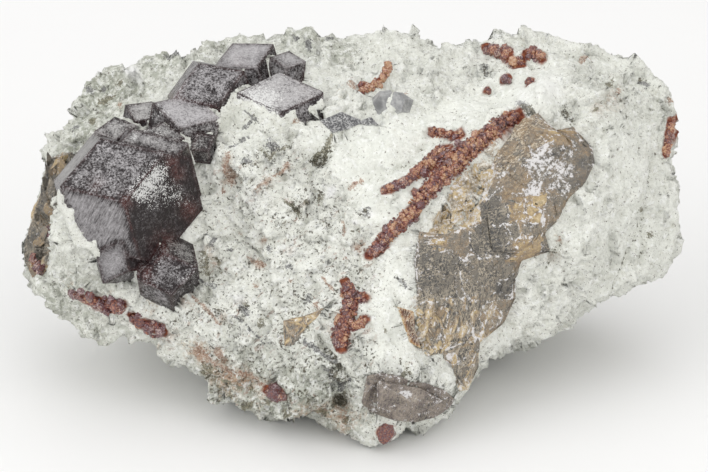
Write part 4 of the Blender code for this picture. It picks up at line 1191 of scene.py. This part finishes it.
def build_large_garnets():
    """The dark garnets: their flat faces with growth steps, worn edges, pits and dust, and a coat
    that is paler on some faces and darker on others, partly as painted light.
    """
    points, triangles, normals, inside, numbers = refined_facets("garnet_cluster", FACET_SPACING)
    spots = seen(points)
    shown = step(facing(points, normals), -0.05, 0.15)
    on_edge = numbers < 0
    uneven = inside + 0.5 * soft_noise(points, 2.4, 3) + 0.25 * soft_noise(points, 0.9, 4)
    terraces = 0.05 * np.floor(np.clip(uneven, 0, 3.6) / 0.9)
    nearest, own, _ = cell_noise(points + 0.35 * noise_ways(points, 1.0, 70), 0.95, 11)
    pitted = np.clip(spotted(spots, PITTED), 0, 1) * shown
    pit = step(own, 0.42, 0.5) * step(0.46 - nearest, 0.0, 0.10) * pitted
    height = terraces + 0.05 * layered(points, 1.4, 3, 8) - 0.34 * pit
    height *= ~on_edge * step(inside, 0.0, 0.5)
    worn = on_edge * 0.07 * (0.4 + soft_noise(points, 0.9, 5))
    moved = points + normals * (height - worn)[:, None]
    made = new_object("large_garnets", moved, triangles, large_garnet_material())

    near_edge = np.where(on_edge, 1.0, step(0.5 - inside, 0.0, 0.4))
    wide_edge = np.where(on_edge, 1.0, step(1.1 - inside, 0.0, 0.9))
    looks = np.tile(np.array(OTHER_FACES), (len(points), 1))
    chosen = face_numbers(made, numbers, [look[:2] for look in FACE_LOOKS])
    for number, look in zip(chosen, FACE_LOOKS):
        looks[numbers == number] = look[2:]
    looks[on_edge] = looks[~on_edge][nearest_of(points[~on_edge], points[on_edge])]
    # Each face's own bloom and dust: its coat, and partly painted light.
    face_bloom_and_light, lined, mottled, olive, face_dust_and_light = looks.T
    dusted, cleared = spotted(spots, DUST) * shown, spotted(spots, CLEAR) * shown
    bloom_and_face_light = face_bloom_and_light + 0.10 * soft_noise(points, 3.0, 6) - 0.30 * wide_edge - 0.3 * pit
    bloom_and_face_light += 0.12 * dusted * (face_bloom_and_light < 0.3) - 0.3 * cleared
    dust_and_face_light = face_dust_and_light + dusted - cleared - 0.2 * pit
    paint(made, "coat_and_face_light", (bloom_and_face_light, dust_and_face_light, 0.8 * spotted(spots, RED) * shown + 0.25 * near_edge))
    paint(made, "work", (lined, mottled, olive))
    settle(made, "garnet_cluster")


# --- small garnets ---------------------------------------------------------------------

DODECAHEDRON = np.array(
    [corner for corner in product((-1.0, 1.0), repeat=3)]
    + [(2, 0, 0), (-2, 0, 0), (0, 2, 0), (0, -2, 0), (0, 0, 2), (0, 0, -2)], dtype=float
) / sqrt(2.0)


def dodecahedron_faces():
    """The twelve rhombs of a rhombic dodecahedron, seen from outside."""
    faces = []
    for a, b in product((-1, 1), repeat=2):
        for axes in ((0, 1, 2), (1, 2, 0), (2, 0, 1)):
            normal = np.zeros(3)
            normal[axes[0]], normal[axes[1]] = a, b
            ring = np.flatnonzero(DODECAHEDRON @ normal > 1.9 / sqrt(2.0))
            middle = DODECAHEDRON[ring].mean(axis=0)
            side = DODECAHEDRON[ring[0]] - middle
            other = np.cross(normal, side) / np.linalg.norm(normal)
            offsets = DODECAHEDRON[ring] - middle
            faces.append(ring[np.argsort(np.arctan2(offsets @ other, offsets @ side))])
    return np.array(faces)


RHOMBS = dodecahedron_faces()


def random_turns(draw, count):
    """Evenly random rotation matrices."""
    q = draw.normal(size=(count, 4))
    q /= np.linalg.norm(q, axis=1)[:, None]
    w, x, y, z = q.T
    return np.stack([
        np.stack([1 - 2 * (y * y + z * z), 2 * (x * y - z * w), 2 * (x * z + y * w)], axis=1),
        np.stack([2 * (x * y + z * w), 1 - 2 * (x * x + z * z), 2 * (y * z - x * w)], axis=1),
        np.stack([2 * (x * z - y * w), 2 * (y * z + x * w), 1 - 2 * (x * x + y * y)], axis=1),
    ], axis=1)


def grains(name, middles, reaches, tones, dusts_and_highlights, draw, surface):
    """Many small garnets in one piece."""
    count, corners = len(middles), len(DODECAHEDRON)
    turns = random_turns(draw, count)
    shapes = DODECAHEDRON[None] * draw.uniform(0.8, 1.2, (count, 1, 3))
    points = np.einsum("nij,nkj->nki", turns, shapes) * reaches[:, None, None] + middles[:, None]
    faces = (RHOMBS[None] + (np.arange(count) * corners)[:, None, None]).reshape(-1, 4)
    made = new_object(name, points.reshape(-1, 3), faces, surface)
    paint(made, "tone", (np.repeat(tones, corners), np.repeat(dusts_and_highlights, corners), 0.0))
    return made


# Each string of garnets: points (x, y, half width), all in view points; the grains' reach
# in millimetres; how many for each square millimetre; the middle tone and its spread; and
# how deep they sit, as a share of their size, where that isn't the usual.
STRINGS = {
    "garnet_crust_long": dict(paths=(
        ((517, 115, 5), (500, 125, 9), (479, 142, 8), (463, 153, 11), (454, 166, 11),
         (437, 180, 9), (426, 192, 8), (415, 209, 7.5), (401, 223, 8), (386, 236, 8),
         (381, 247, 7), (369, 253, 5)),
        ((446, 150, 8), (430, 162, 7), (420, 171, 5.5), (405, 182, 5), (392, 188, 4.5),
         (382, 190, 3)),
    ), reach=(0.11, 0.36), density=25.0, tone=(0.40, 0.36)),
    "garnet_crust_islet": dict(paths=(
        ((431, 131, 5), (440, 133, 4), (456, 136, 4), (462, 133, 2)),
    ), reach=(0.14, 0.38), density=15.0, tone=(0.42, 0.3)),
    "garnet_crust_upper": dict(paths=(
        ((389, 64, 4), (384, 76, 4.5), (376, 84, 4), (366, 88, 5), (361, 92, 4)),
    ), reach=(0.14, 0.42), density=15.0, tone=(0.14, 0.2)),
    "garnet_crust_low": dict(paths=(
        ((345, 283, 5), (349, 292, 8), (352, 305, 6), (345, 318, 8), (340, 332, 8), (342, 346, 8)),
        ((355, 298, 5), (365, 298, 5)), ((352, 326, 5), (362, 322, 5), (366, 319, 3)),
    ), reach=(0.11, 0.38), density=24.0, tone=(0.44, 0.30)),
    "garnet_crust_summit": dict(paths=(
        ((486, 47, 5), (493, 50, 6), (500, 54, 4), (508, 50, 6), (507, 58, 5)),
        ((513, 62, 5), (522, 63, 5)), ((527, 54, 6), (536, 54, 6), (542, 58, 4)),
    ), reach=(0.16, 0.55), density=12.0, tone=(0.42, 0.24)),
    "garnet_band_left": dict(paths=(
        ((72, 293, 3), (84, 297, 6), (98, 303, 8), (112, 307, 8), (122, 305, 5)),
    ), reach=(0.2, 0.75), density=7.0, tone=(0.74, 0.26)),
    "garnet_band_middle": dict(paths=(
        ((132, 318, 4), (142, 323, 6), (152, 328, 7), (162, 332, 6)),
    ), reach=(0.2, 0.7), density=7.0, tone=(0.71, 0.27)),
    "garnet_patch_right": dict(paths=(
        ((672, 119, 4), (671, 130, 4), (668, 142, 4), (666, 154, 4)),
    ), reach=(0.14, 0.45), density=12.0, tone=(0.25, 0.2)),
    "garnet_foot_left": dict(paths=(((268, 388, 5), (276, 392, 7), (282, 396, 5)),),
                             reach=(0.7, 1.25), density=1.5, tone=(0.76, 0.08), sunk=0.45),
    "garnet_tip_foot": dict(paths=(((380, 433, 4), (387, 437, 6)),),
                            reach=(0.7, 1.15), density=2.0, tone=(0.66, 0.10), sunk=0.75),
    "garnet_grain_lilac": dict(paths=(((503, 80, 5), (508, 77, 5)),),
                               reach=(0.3, 0.8), density=4.0, tone=(0.86, 0.10)),
    "garnet_grain_brown": dict(paths=(((486, 91, 4), (488, 89, 3)),),
                               reach=(0.15, 0.45), density=12.0, tone=(0.4, 0.15)),
    "garnet_grain_red": dict(paths=(((527, 84, 3), (533, 79, 3)),),
                             reach=(0.15, 0.45), density=12.0, tone=(0.5, 0.18)),
}
# Loose grains that have no solid of their own, on the mica at the left end.
LOOSE_GRAINS = {
    "rim_low": dict(paths=(((33, 254, 4), (38, 264, 5), (42, 274, 4)),),
                    reach=(0.2, 0.6), density=6.0, tone=(0.72, 0.16)),
    "rim_high": dict(paths=(((47, 228, 3), (52, 238, 4)),),
                     reach=(0.2, 0.6), density=6.0, tone=(0.76, 0.14)),
}
FACETED_SHARE = 0.03  # of a string's grains, the ones that are well formed and large


def scattered_on(paths, density, draw, finder):
    """Places on a surface along paths: each place, its normal, its share of the half
    width, and the half width there in millimetres."""
    found = []
    for path in paths:
        for (x0, y0, w0), (x1, y1, w1) in zip(path[:-1], path[1:]):
            length = np.hypot(x1 - x0, y1 - y0)
            area = length * (w0 + w1) * VIEW_POINT**2
            for _ in range(max(1, round(area * density))):
                t = draw.uniform()
                width = w0 + (w1 - w0) * t
                share = np.clip(draw.normal(0.0, 0.55), -1.05, 1.05)
                x = x0 + (x1 - x0) * t - (y1 - y0) / length * share * width
                y = y0 + (y1 - y0) * t + (x1 - x0) / length * share * width
                place, normal, _ = finder.seen_at(x, y)
                if place is not None:
                    found.append((place, normal, share, width * VIEW_POINT))
    return found


def build_string(node, finder, surface, paths, reach, density, tone, sunk=0.15):
    """A string of small garnets: a few well-formed ones among many smaller ones."""
    draw = np.random.default_rng(sum(map(ord, node)))
    middles, reaches = [], []
    for place, normal, _, room in scattered_on(paths, density * FACETED_SHARE, draw, finder):
        size = min(reach[1] * draw.uniform(0.9, 1.6), 0.75 * room)
        middles.append(place - normal * size * draw.uniform(0.0, 0.35))
        reaches.append(size)
    for place, normal, share, room in scattered_on(paths, density, draw, finder):
        size = reach[0] + (reach[1] - reach[0]) * draw.uniform() ** 1.7
        size *= 1.0 - 0.4 * abs(share)
        heap = (1.0 - share**2) * min(0.35 * room, 0.4) * draw.uniform(0.0, 1.0)
        middles.append(place + normal * (heap - sunk * size))
        reaches.append(size)
    middles, reaches = np.array(middles), np.array(reaches)
    field = layered(middles, 1.3, 2, 31) * 1.6
    tones = tone[0] + tone[1] * (field + draw.normal(0.0, 0.55, len(middles)))
    # How much pale film each grain gets: dust, and painted highlights.
    dusts_and_highlights = draw.normal(0.10, 0.4, len(middles))
    made = grains(node + "_grains", middles, reaches, tones, dusts_and_highlights, draw, surface)
    settle(made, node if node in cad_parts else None)


# --- mica ---------------------------------------------------------------------------------


def plates(name, places, surface):
    """Thin many-cornered plates: (middle, normal, long side, radii, thickness, tone, film)."""
    draw = np.random.default_rng(len(places))
    points, faces, tones, films_and_highlights = [], [], [], []
    for middle, normal, along, (long, short), thickness, tone, film_and_highlight in places:
        normal = normal / np.linalg.norm(normal)
        along = along - normal * (along @ normal)
        along /= np.linalg.norm(along)
        beside = np.cross(normal, along)
        count = int(draw.integers(7, 12))
        angles = (np.arange(count) + draw.uniform(-0.35, 0.35, count)) * 2 * pi / count
        spread = draw.uniform(0.6, 1.1, count)
        ring = [
            middle + along * cos(a) * long * s + beside * sin(a) * short * s
            for a, s in zip(angles, spread)
        ]
        top = [len(points) + i for i in range(count)]
        foot = [corner + count for corner in top]
        points.extend(spot + normal * thickness / 2 for spot in ring)
        points.extend(spot - normal * thickness / 2 for spot in ring)
        faces += [top, foot[::-1]]
        faces.extend(zip(top, foot, foot[1:] + foot[:1], top[1:] + top[:1]))
        tones += [tone] * count * 2
        films_and_highlights += [film_and_highlight] * count * 2
    made = new_object(name, np.array(points), faces, surface)
    paint(made, "tone", (tones, films_and_highlights, 0.2))
    paint(made, "hairs", (0.25, 0.2, 0.0))
    return made


# Sheets of the large mica book: the outline in view points, then its tone, silver film,
# height, felt of fibres and slanting lines.
SHEETS = (
    (((505, 128), (520, 116), (540, 114), (552, 131), (546, 143), (528, 158), (510, 172),
      (490, 178), (490, 160)), 0.4, 0.0, 0.1, 0.1, 1.0),
    (((536, 126), (555, 131), (558, 140), (547, 143), (540, 136)), 0.6, 0.0, 0.14, 0.05, 0.3),
    (((557, 130), (575, 127), (580, 138), (568, 146), (558, 140)), 0.5, 0.0, 0.16, 0.1, 0.0),
    (((573, 130), (590, 146), (595, 158), (592, 172), (580, 186), (570, 190), (568, 168),
      (572, 150)), 0.27, 0.0, 0.1, 0.15, 0.0),
    (((530, 152), (552, 142), (570, 150), (571, 176), (566, 192), (548, 186), (528, 197),
      (520, 188)), 0.24, 0.52, -0.06, 0.35, 0.3),
    (((548, 144), (569, 147), (568, 158), (553, 154)), 0.1, 0.1, -0.02, 0.3, 0.3),
    (((498, 176), (524, 164), (530, 180), (520, 192), (502, 196), (494, 188)), 0.42, 0.0, 0.04,
      0.05, 0.4),
    (((506, 200), (524, 198), (523, 218), (506, 222)), 0.66, 0.2, 0.08, 0.1, 0.0),
    (((527, 196), (550, 194), (546, 224), (524, 222)), 0.7, 0.0, 0.14, 0.05, 0.0),
    (((549, 194), (568, 192), (562, 212), (552, 228), (541, 228)), 0.32, 0.05, 0.04, 0.1, 0.3),
    (((480, 197), (506, 196), (510, 212), (504, 224), (480, 222)), 0.06, 0.05, 0.02, 0.6, 0.0),
    (((470, 226), (500, 223), (510, 230), (508, 254), (480, 260), (466, 245)), 0.02, 0.0, 0.08,
      0.6, 0.0),
    (((505, 222), (536, 224), (533, 240), (512, 240)), 0.18, 0.0, 0.02, 0.4, 0.2),
    (((516, 240), (542, 232), (538, 258), (518, 262)), 0.58, 0.0, 0.06, 0.1, 0.2),
    (((541, 236), (566, 238), (552, 252), (538, 258)), 0.1, 0.05, -0.04, 0.2, 0.6),
    (((462, 254), (508, 256), (516, 280), (506, 300), (470, 300), (456, 280)), 0.18, 0.05, 0.04,
      0.75, 0.0),
    (((413, 240), (440, 244), (460, 258), (456, 298), (416, 300)), 0.12, 0.0, 0.0, 0.65, 0.0),
    (((427, 238), (446, 240), (444, 252), (428, 250)), 0.62, 0.1, 0.06, 0.3, 0.0),
    (((499, 278), (514, 278), (513, 297), (500, 298)), 0.0, 0.0, 0.08, 0.15, 0.0),
    (((428, 298), (438, 298), (444, 340), (430, 338)), 0.5, 0.1, 0.04, 0.3, 0.0),
    (((444, 298), (454, 296), (460, 342), (449, 344)), 0.58, 0.0, 0.1, 0.2, 0.0),
    (((462, 296), (476, 296), (482, 330), (470, 340)), 0.4, 0.0, 0.05, 0.4, 0.0),
    (((482, 298), (502, 300), (500, 322), (486, 330)), 0.34, 0.1, 0.02, 0.7, 0.2),
    (((450, 346), (480, 340), (482, 366), (474, 384), (456, 378)), 0.22, 0.05, 0.05, 0.5, 0.0),
    (((436, 336), (450, 336), (448, 350), (434, 350)), 0.66, 0.2, 0.0, 0.1, 0.0),
    (((443, 348), (455, 346), (455, 364), (444, 364)), 0.6, 1.0, -0.02, 0.1, 0.0),
    (((456, 384), (476, 384), (468, 398), (460, 396)), 0.8, 0.0, 0.0, 0.2, 0.0),
    (((452, 196), (488, 166), (492, 178), (480, 196), (480, 220), (440, 232), (420, 234)), 0.8,
      0.4, -0.08, 0.6, 0.5),
)
# Soft round marks on the large book, darker or paler, and silver.
MICA_TONES = (
    (592, 160, 5, -0.2), (590, 175, 5, -0.15), (570, 143, 6, -0.12), (584, 150, 6, 0.12),
    (500, 135, 8, 0.14), (430, 270, 10, -0.12), (445, 285, 10, -0.08), (425, 260, 7, -0.12),
    (478, 320, 10, 0.1), (455, 325, 10, 0.1), (490, 345, 10, -0.08), (515, 150, 10, -0.06),
    (492, 290, 7, 0.12), (560, 182, 7, -0.14), (543, 166, 6, -0.1),
)
MICA_FILMS = (
    (478, 175, 9, 0.35), (462, 192, 10, 0.4), (446, 210, 10, 0.4), (430, 224, 8, 0.4),
    (492, 165, 7, 0.4), (500, 128, 7, 0.3), (540, 158, 8, 0.3), (558, 165, 8, 0.25),
    (536, 187, 8, 0.3), (524, 196, 6, 0.4), (480, 330, 14, 0.18), (495, 310, 10, 0.2),
    (458, 247, 4, 0.4), (508, 279, 4, 0.4), (488, 358, 10, 0.3), (530, 228, 6, 0.4),
)
BETWEEN_SHEETS = (0.34, 0.0, 0.0, 0.35, 0.15)  # tone and so on where no sheet lies
# The mica at the left end, the amber flake, the low book and the blade.
RIM_PATH = ((76, 140), (66, 158), (52, 175), (44, 195), (40, 220), (31, 245), (30, 265), (38, 285))
# Darker spots in the rim's hollows: painted shade.
RIM_HOLLOW_SHADE = ((66, 165, 7, 1.0), (52, 215, 8, 0.5), (36, 250, 6, 0.5), (60, 180, 6, 0.6))
RIM_FILMS = ((50, 160, 8, 0.4), (40, 235, 6, 0.4))
AMBER_CORE = ((400, 308), (411, 312), (419, 330), (422, 345), (413, 344), (405, 325))
LOW_TONES = ((430, 410, 12, -0.1), (420, 392, 10, 0.1), (380, 410, 12, -0.08), (385, 384, 8, 0.2))
LOW_FILMS = ((381, 382, 6, 0.4), (392, 378, 8, 0.3), (440, 392, 8, 0.3), (373, 408, 5, 0.5))
LOW_PATCH = ((399, 391), (409, 391), (413, 395), (409, 399), (400, 396))
BLADE_PATH = ((283, 346), (300, 330), (326, 309))
BLADE_LOW = ((280, 350), (283, 334), (326, 306), (330, 312))
BLADE_DARK = ((280, 350), (281, 328), (299, 324), (304, 334), (290, 352))


def banded(spots, path, across, along, seed):
    """Noise drawn out along a path, for stacked sheets: sizes in view points."""
    path = np.array(path, dtype=float)
    lengths = np.concatenate(((0.0,), np.cumsum(np.linalg.norm(np.diff(path, axis=0), axis=1))))
    best = np.full(len(spots), 1e9)
    away, far = np.zeros(len(spots)), np.zeros(len(spots))
    for a, b, begun in zip(path[:-1], path[1:], lengths):
        way = b - a
        share = np.clip((spots - a) @ way / (way @ way), 0.0, 1.0)
        offset = spots - a - share[:, None] * way
        distance = np.linalg.norm(offset, axis=1)
        closer = distance < best
        side = np.sign(offset[:, 0] * way[1] - offset[:, 1] * way[0])
        away = np.where(closer, side * distance, away)
        far = np.where(closer, begun + share * np.linalg.norm(way), far)
        best = np.minimum(best, distance)
    flat = np.stack((away / across, far / along, np.zeros(len(spots))), axis=1)
    return layered(flat, 1.0, 2, seed)


def mica_tone(spots):
    """The large book's tone, silver film, height, felt and slanting lines at each spot."""
    values = np.tile(np.array(BETWEEN_SHEETS), (len(spots), 1))
    outlines = np.zeros(len(spots))
    for outline, *own in SHEETS:
        depth = depth_inside(spots, outline)
        values += (np.array(own) - values) * step(depth, -0.6, 0.6)[:, None]
        outlines = np.maximum(outlines, fading(depth, 0.7))
    tone, film_and_highlight, height, felt, slant = values.T
    tone = tone + spotted(spots, MICA_TONES)
    film_and_highlight = np.maximum(film_and_highlight, 0.85 * outlines) + spotted(spots, MICA_FILMS)
    return tone, film_and_highlight, height, felt, slant


LARGE_BOOK_SHEETS = ((478, 262), (438, 372))  # the way its sheets' edges run at its foot


def relaxed(points, triangles, free, rounds):
    """Points drawn towards the middle of their neighbours, where they are free to move."""
    corners = np.array(triangles)
    pairs = np.concatenate((corners[:, (0, 1)], corners[:, (1, 2)], corners[:, (2, 0)]))
    pairs = np.concatenate((pairs, pairs[:, ::-1]))
    count = len(points)
    shares = np.maximum(np.bincount(pairs[:, 0], minlength=count), 1)[:, None]
    for _ in range(rounds):
        others = points[pairs[:, 1]]
        sums = np.stack([np.bincount(pairs[:, 0], other, count) for other in others.T], axis=1)
        points = points + (sums / shares - points) * free[:, None]
    return points


def build_large_book(surface):
    """The large mica book: its CAD shape in flat sheets, with sheet edges at its foot."""
    points, triangles, normals, _, _ = refined_facets("mica_book_large", 0.2)
    spots = seen(points)
    shown = step(facing(points, normals), 0.1, 0.4)
    eased = relaxed(points, triangles, 0.6 * shown * (shown > 0.5), 26)
    wobble = noise_ways(points, 0.8, 60, 2)
    tone, film_and_highlight, height, felt, slant = mica_tone(spots + 2.4 * (wobble - 0.5))
    lower = step(spots[:, 1], 280, 305) * step(500 - spots[:, 0], 0, 20)
    bands = banded(spots, LARGE_BOOK_SHEETS, 4.2, 90.0, 12)
    height = height + 0.05 * layered(points, 1.2, 3, 22) + 0.16 * bands * lower
    moved = eased + normals * (height * shown)[:, None]
    made = new_object("mica_large", moved, triangles, surface)
    tone = tone + (0.70 * bands - 0.05) * lower
    film_and_highlight = film_and_highlight + 0.35 * step(bands, 0.5, 0.8) * lower
    paint(made, "tone", (tone, film_and_highlight, 0.1 + 0.75 * lower))
    paint(made, "hairs", (felt, slant, 0.0))
    settle(made, "mica_book_large")
    return made


def flakes_on(name, finder, outline, count, sizes, thickness, along, surface, seed, look,
              tilt=0.06, lift=0.05, leaning=0.25):
    """Thin mica flakes scattered over what is seen inside an outline."""
    draw = np.random.default_rng(seed)
    outline = np.array(outline, dtype=float)
    low, high = outline.min(axis=0), outline.max(axis=0)
    places = []
    while len(places) < count:
        spot = low + (high - low) * draw.uniform(size=2)
        if depth_inside(spot[None], outline)[0] < 2.0:
            continue
        place, normal, _ = finder.seen_at(*spot)
        if place is None:
            continue
        normal = normal + draw.normal(0.0, tilt, 3)
        long = draw.uniform(*sizes)
        short = long * draw.uniform(0.3, 0.7)
        tone, film_and_highlight = look(spot[None])[:2]
        places.append((
            place + normal * lift * draw.uniform(0.0, 1.5), normal,
            np.array(along) + draw.normal(0.0, leaning, 3), (long, short),
            thickness * draw.uniform(0.6, 1.4), tone[0] + draw.normal(0.0, 0.06), film_and_highlight[0] * 0.4,
        ))
    settle(plates(name, places, surface))


def build_rim_book(surface):
    """The mica at the left end: sheets seen on edge, in folds along the rim."""
    points, triangles, normals, inside, numbers = refined_facets("mica_rim_left", 0.3)
    spots = seen(points)
    bands = banded(spots, RIM_PATH, 3.2, 26.0, 41)
    coarse = banded(spots, RIM_PATH, 8.0, 34.0, 45)
    height = 0.30 * bands + 0.35 * coarse + 0.10 * layered(points, 0.9, 2, 46)
    worn = step(inside, 0.0, 0.3) + (numbers < 0) * 0.2
    made = new_object("mica_rim", points + normals * (height * worn)[:, None], triangles, surface)
    # Darker in the rim's hollows: painted shade.
    tone = 0.18 + 0.60 * bands + 0.35 * coarse - 0.5 * spotted(spots, RIM_HOLLOW_SHADE)
    film_and_highlight = 0.5 * step(bands, 0.35, 0.8) + spotted(spots, RIM_FILMS)
    paint(made, "tone", (tone, film_and_highlight, 0.7))
    paint(made, "hairs", (0.15, 0.2, 0.0))
    settle(made, "mica_rim_left")
    return made


def build_plain_book(node, name, surface, spacing, look, relief=0.07, felt=0.4):
    """A smaller book or grain: its CAD shape, roughened, with a look for its points."""
    points, triangles, normals, inside, numbers = refined_facets(node, spacing)
    height = relief * layered(points, 1.1, 3, 3) * (numbers >= 0)
    made = new_object(name, points + normals * height[:, None], triangles, surface)
    edge = np.where(numbers < 0, 1.0, step(0.45 - inside, 0.0, 0.4))
    paint(made, "tone", look(points, seen(points), edge))
    paint(made, "hairs", (felt, 0.15, 0.0))
    settle(made, node)


def amber_look(points, spots, edge):
    core = step(depth_inside(spots, AMBER_CORE), -1.5, 2)
    return 0.80 - 0.74 * core + 0.12 * soft_noise(points, 0.8, 5), 0.2 * edge, 0.9


def low_book_look(points, spots, edge):
    tone = 0.25 + 0.34 * layered(points, 1.6, 3, 9) + 0.12 * edge + spotted(spots, LOW_TONES)
    patch = step(depth_inside(spots, LOW_PATCH), -0.8, 0.8)
    return tone, spotted(spots, LOW_FILMS) + 1.3 * patch + 0.15 * edge, 0.3


def blade_look(points, spots, edge):
    bands = banded(spots, BLADE_PATH, 2.2, 16.0, 51)
    low, dark = (step(depth_inside(spots, side), -2, 3) for side in (BLADE_LOW, BLADE_DARK))
    tone = 0.40 + 0.75 * bands + 0.22 * low - 0.22 * dark
    # The second value, the silver film along the bands, paints the blade's pale glints: a painted
    # highlight.
    return tone, 0.5 * step(bands, 0.25, 0.6) * (1 - dark), 0.6


def sliver_look(points, spots, edge):
    return 0.66 + 0.2 * layered(points, 1.0, 2, 5), 0.95, 0.0


def pair_look(points, spots, edge):
    return 0.52 + 0.12 * soft_noise(points, 1.2, 5) + 0.1 * edge, 0.1, 0.0


# --- stage ----------------------------------------------------------------------------------

FLOOR_REACH = 3000.0
FLOOR_LEVEL = -0.02  # a hair below the stone's foot
LAMPS_AIM = (0.0, 0.0, 0.02)


def placed(name, data, place, towards):
    """A lamp or camera at a place, turned towards a direction."""
    made = bpy.data.objects.new(name, data)
    made.location = place
    made.rotation_mode = "QUATERNION"
    made.rotation_quaternion = Vector(towards).to_track_quat("-Z", "Y")
    bpy.context.collection.objects.link(made)
    return made


def build_stage():
    """A pale floor, soft light from above, and the camera."""
    paints = Paints("floor")
    paints.colour = paints.mix(paints.noise(40.0), (0.87, 0.87, 0.87), (0.89, 0.89, 0.89))
    surface = paints.finish(Roughness=0.9, Specular_IOR_Level=0.1)
    corners = np.array(((-1, -1, 0), (1, -1, 0), (1, 1, 0), (-1, 1, 0))) * FLOOR_REACH
    floor = new_object("floor", corners, [(0, 1, 2, 3)], surface)
    floor.location.z = FLOOR_LEVEL * MM

    world = bpy.data.worlds.new("studio")
    world.use_nodes = True
    background = world.node_tree.nodes["Background"]
    background.inputs["Color"].default_value = (1.0, 0.99, 0.975, 1.0)
    background.inputs["Strength"].default_value = 0.64
    bpy.context.scene.world = world

    # Each lamp's place and size in metres, its power in watts and its colour.
    for name, place, size, power, tint in (
        ("overhead", (-0.10, 0.10, 0.90), 1.3, 3.2, (0.98, 0.99, 1.0)),
        ("front_left", (-0.75, -0.55, 0.50), 0.9, 4.1, (1.0, 1.0, 1.0)),
        ("front_right", (0.5, -0.6, 0.60), 0.9, 2.7, (1.0, 0.99, 0.98)),
    ):
        light = bpy.data.lights.new(name, "AREA")
        light.size = size
        light.energy = power
        light.color = tint
        placed(name, light, place, Vector(LAMPS_AIM) - Vector(place))

    camera = bpy.data.cameras.new("camera")
    camera.sensor_width = SENSOR
    camera.lens = SENSOR * VIEW_REACH / (VIEW_WIDTH * VIEW_POINT)
    camera.clip_start = 0.01
    bpy.context.scene.camera = placed("camera", camera, Vector(EYE) * MM, -Vector(TOWARD))
    bpy.context.scene.view_settings.view_transform = "Standard"


# --- the whole --------------------------------------------------------------------------------

# The large book's outline, where flakes lie on it.
LARGE_BOOK = (
    (513, 116), (538, 113), (555, 131), (574, 127), (591, 147), (595, 158), (592, 169), (579, 185),
    (565, 207), (558, 221), (544, 232), (562, 240), (550, 252), (521, 260), (515, 294), (503, 323),
    (480, 345), (480, 368), (467, 392), (453, 370), (430, 355), (417, 295), (413, 255), (419, 232),
    (460, 228), (481, 199), (488, 174), (489, 163),
)
# Where the large book frays out over the rock, and the plates beside the amber flake.
FRAYED = (
    (489, 160), (478, 168), (462, 178), (450, 190), (443, 207), (434, 222), (416, 236), (419, 246),
    (462, 232), (484, 201), (491, 172),
)
FRINGE = (
    (412, 302), (421, 304), (431, 330), (436, 357), (424, 354), (417, 335),
)
# Where flakes lie on the mica at the left end.
RIM_BOOK = (
    (46, 160), (66, 152), (74, 150), (66, 176), (58, 190), (60, 205), (50, 222), (48, 240),
    (42, 262), (38, 282), (27, 262), (28, 240), (34, 220), (40, 195), (44, 176),
)


def frayed_look(spots):
    """Tone and silver film of the flakes on the rock."""
    return np.full(len(spots), 0.74), np.full(len(spots), 1.1)


def rim_look(spots):
    """Tone and silver film of the flakes at the left end."""
    bands = banded(spots, RIM_PATH, 3.2, 26.0, 41)
    return 0.14 + 0.6 * bands, 0.3 * step(bands, 0.3, 0.6)


def build():
    rock = Surface(build_rock())
    build_large_garnets()
    small = small_garnet_material()
    for node, layout in STRINGS.items():
        build_string(node, rock, small, **layout)
    mica = mica_material("mica", MICA_RAMP)
    book = Surface(build_large_book(mica))
    flakes_on("mica_large_flakes", book, LARGE_BOOK, 60, (0.5, 1.6), 0.04,
              (0.5, 0.3, 0.8), mica, 5, mica_tone, tilt=0.03, lift=0.05)
    flakes_on("mica_frayed_flakes", rock, FRAYED, 70, (0.5, 1.7), 0.04,
              (0.5, 0.3, 0.8), mica, 15, frayed_look, tilt=0.10, lift=0.06)
    flakes_on("mica_fringe_flakes", rock, FRINGE, 26, (0.6, 1.8), 0.04,
              (0.25, 0.0, -1.0), mica, 16, frayed_look, tilt=0.10, lift=0.08)
    rim = Surface(build_rim_book(mica))
    flakes_on("mica_rim_flakes", rim, RIM_BOOK, 60, (0.5, 1.5), 0.05,
              (-0.25, 0.0, 1.0), mica, 8, rim_look, tilt=0.4, leaning=0.10)
    for name, layout in LOOSE_GRAINS.items():
        build_string(name, rim, small, **layout)
    amber = mica_material("mica_amber", AMBER_RAMP)
    grey = grey_material()
    low = mica_material("mica_low", LOW_RAMP)
    build_plain_book("mica_flake_amber", "mica_amber", amber, 0.25, amber_look, felt=0.0)
    build_plain_book("mica_book_low", "mica_low", low, 0.3, low_book_look, 0.12)
    build_plain_book("mica_blade", "mica_blade_plate", mica, 0.25, blade_look, 0.12, 0.1)
    build_plain_book("garnet_sliver_grey", "grey_sliver", grey, 0.25,
                     sliver_look, 0.12)
    build_plain_book("garnet_pair_grey", "grey_pair", grey, 0.25, pair_look)


build()
build_stage()
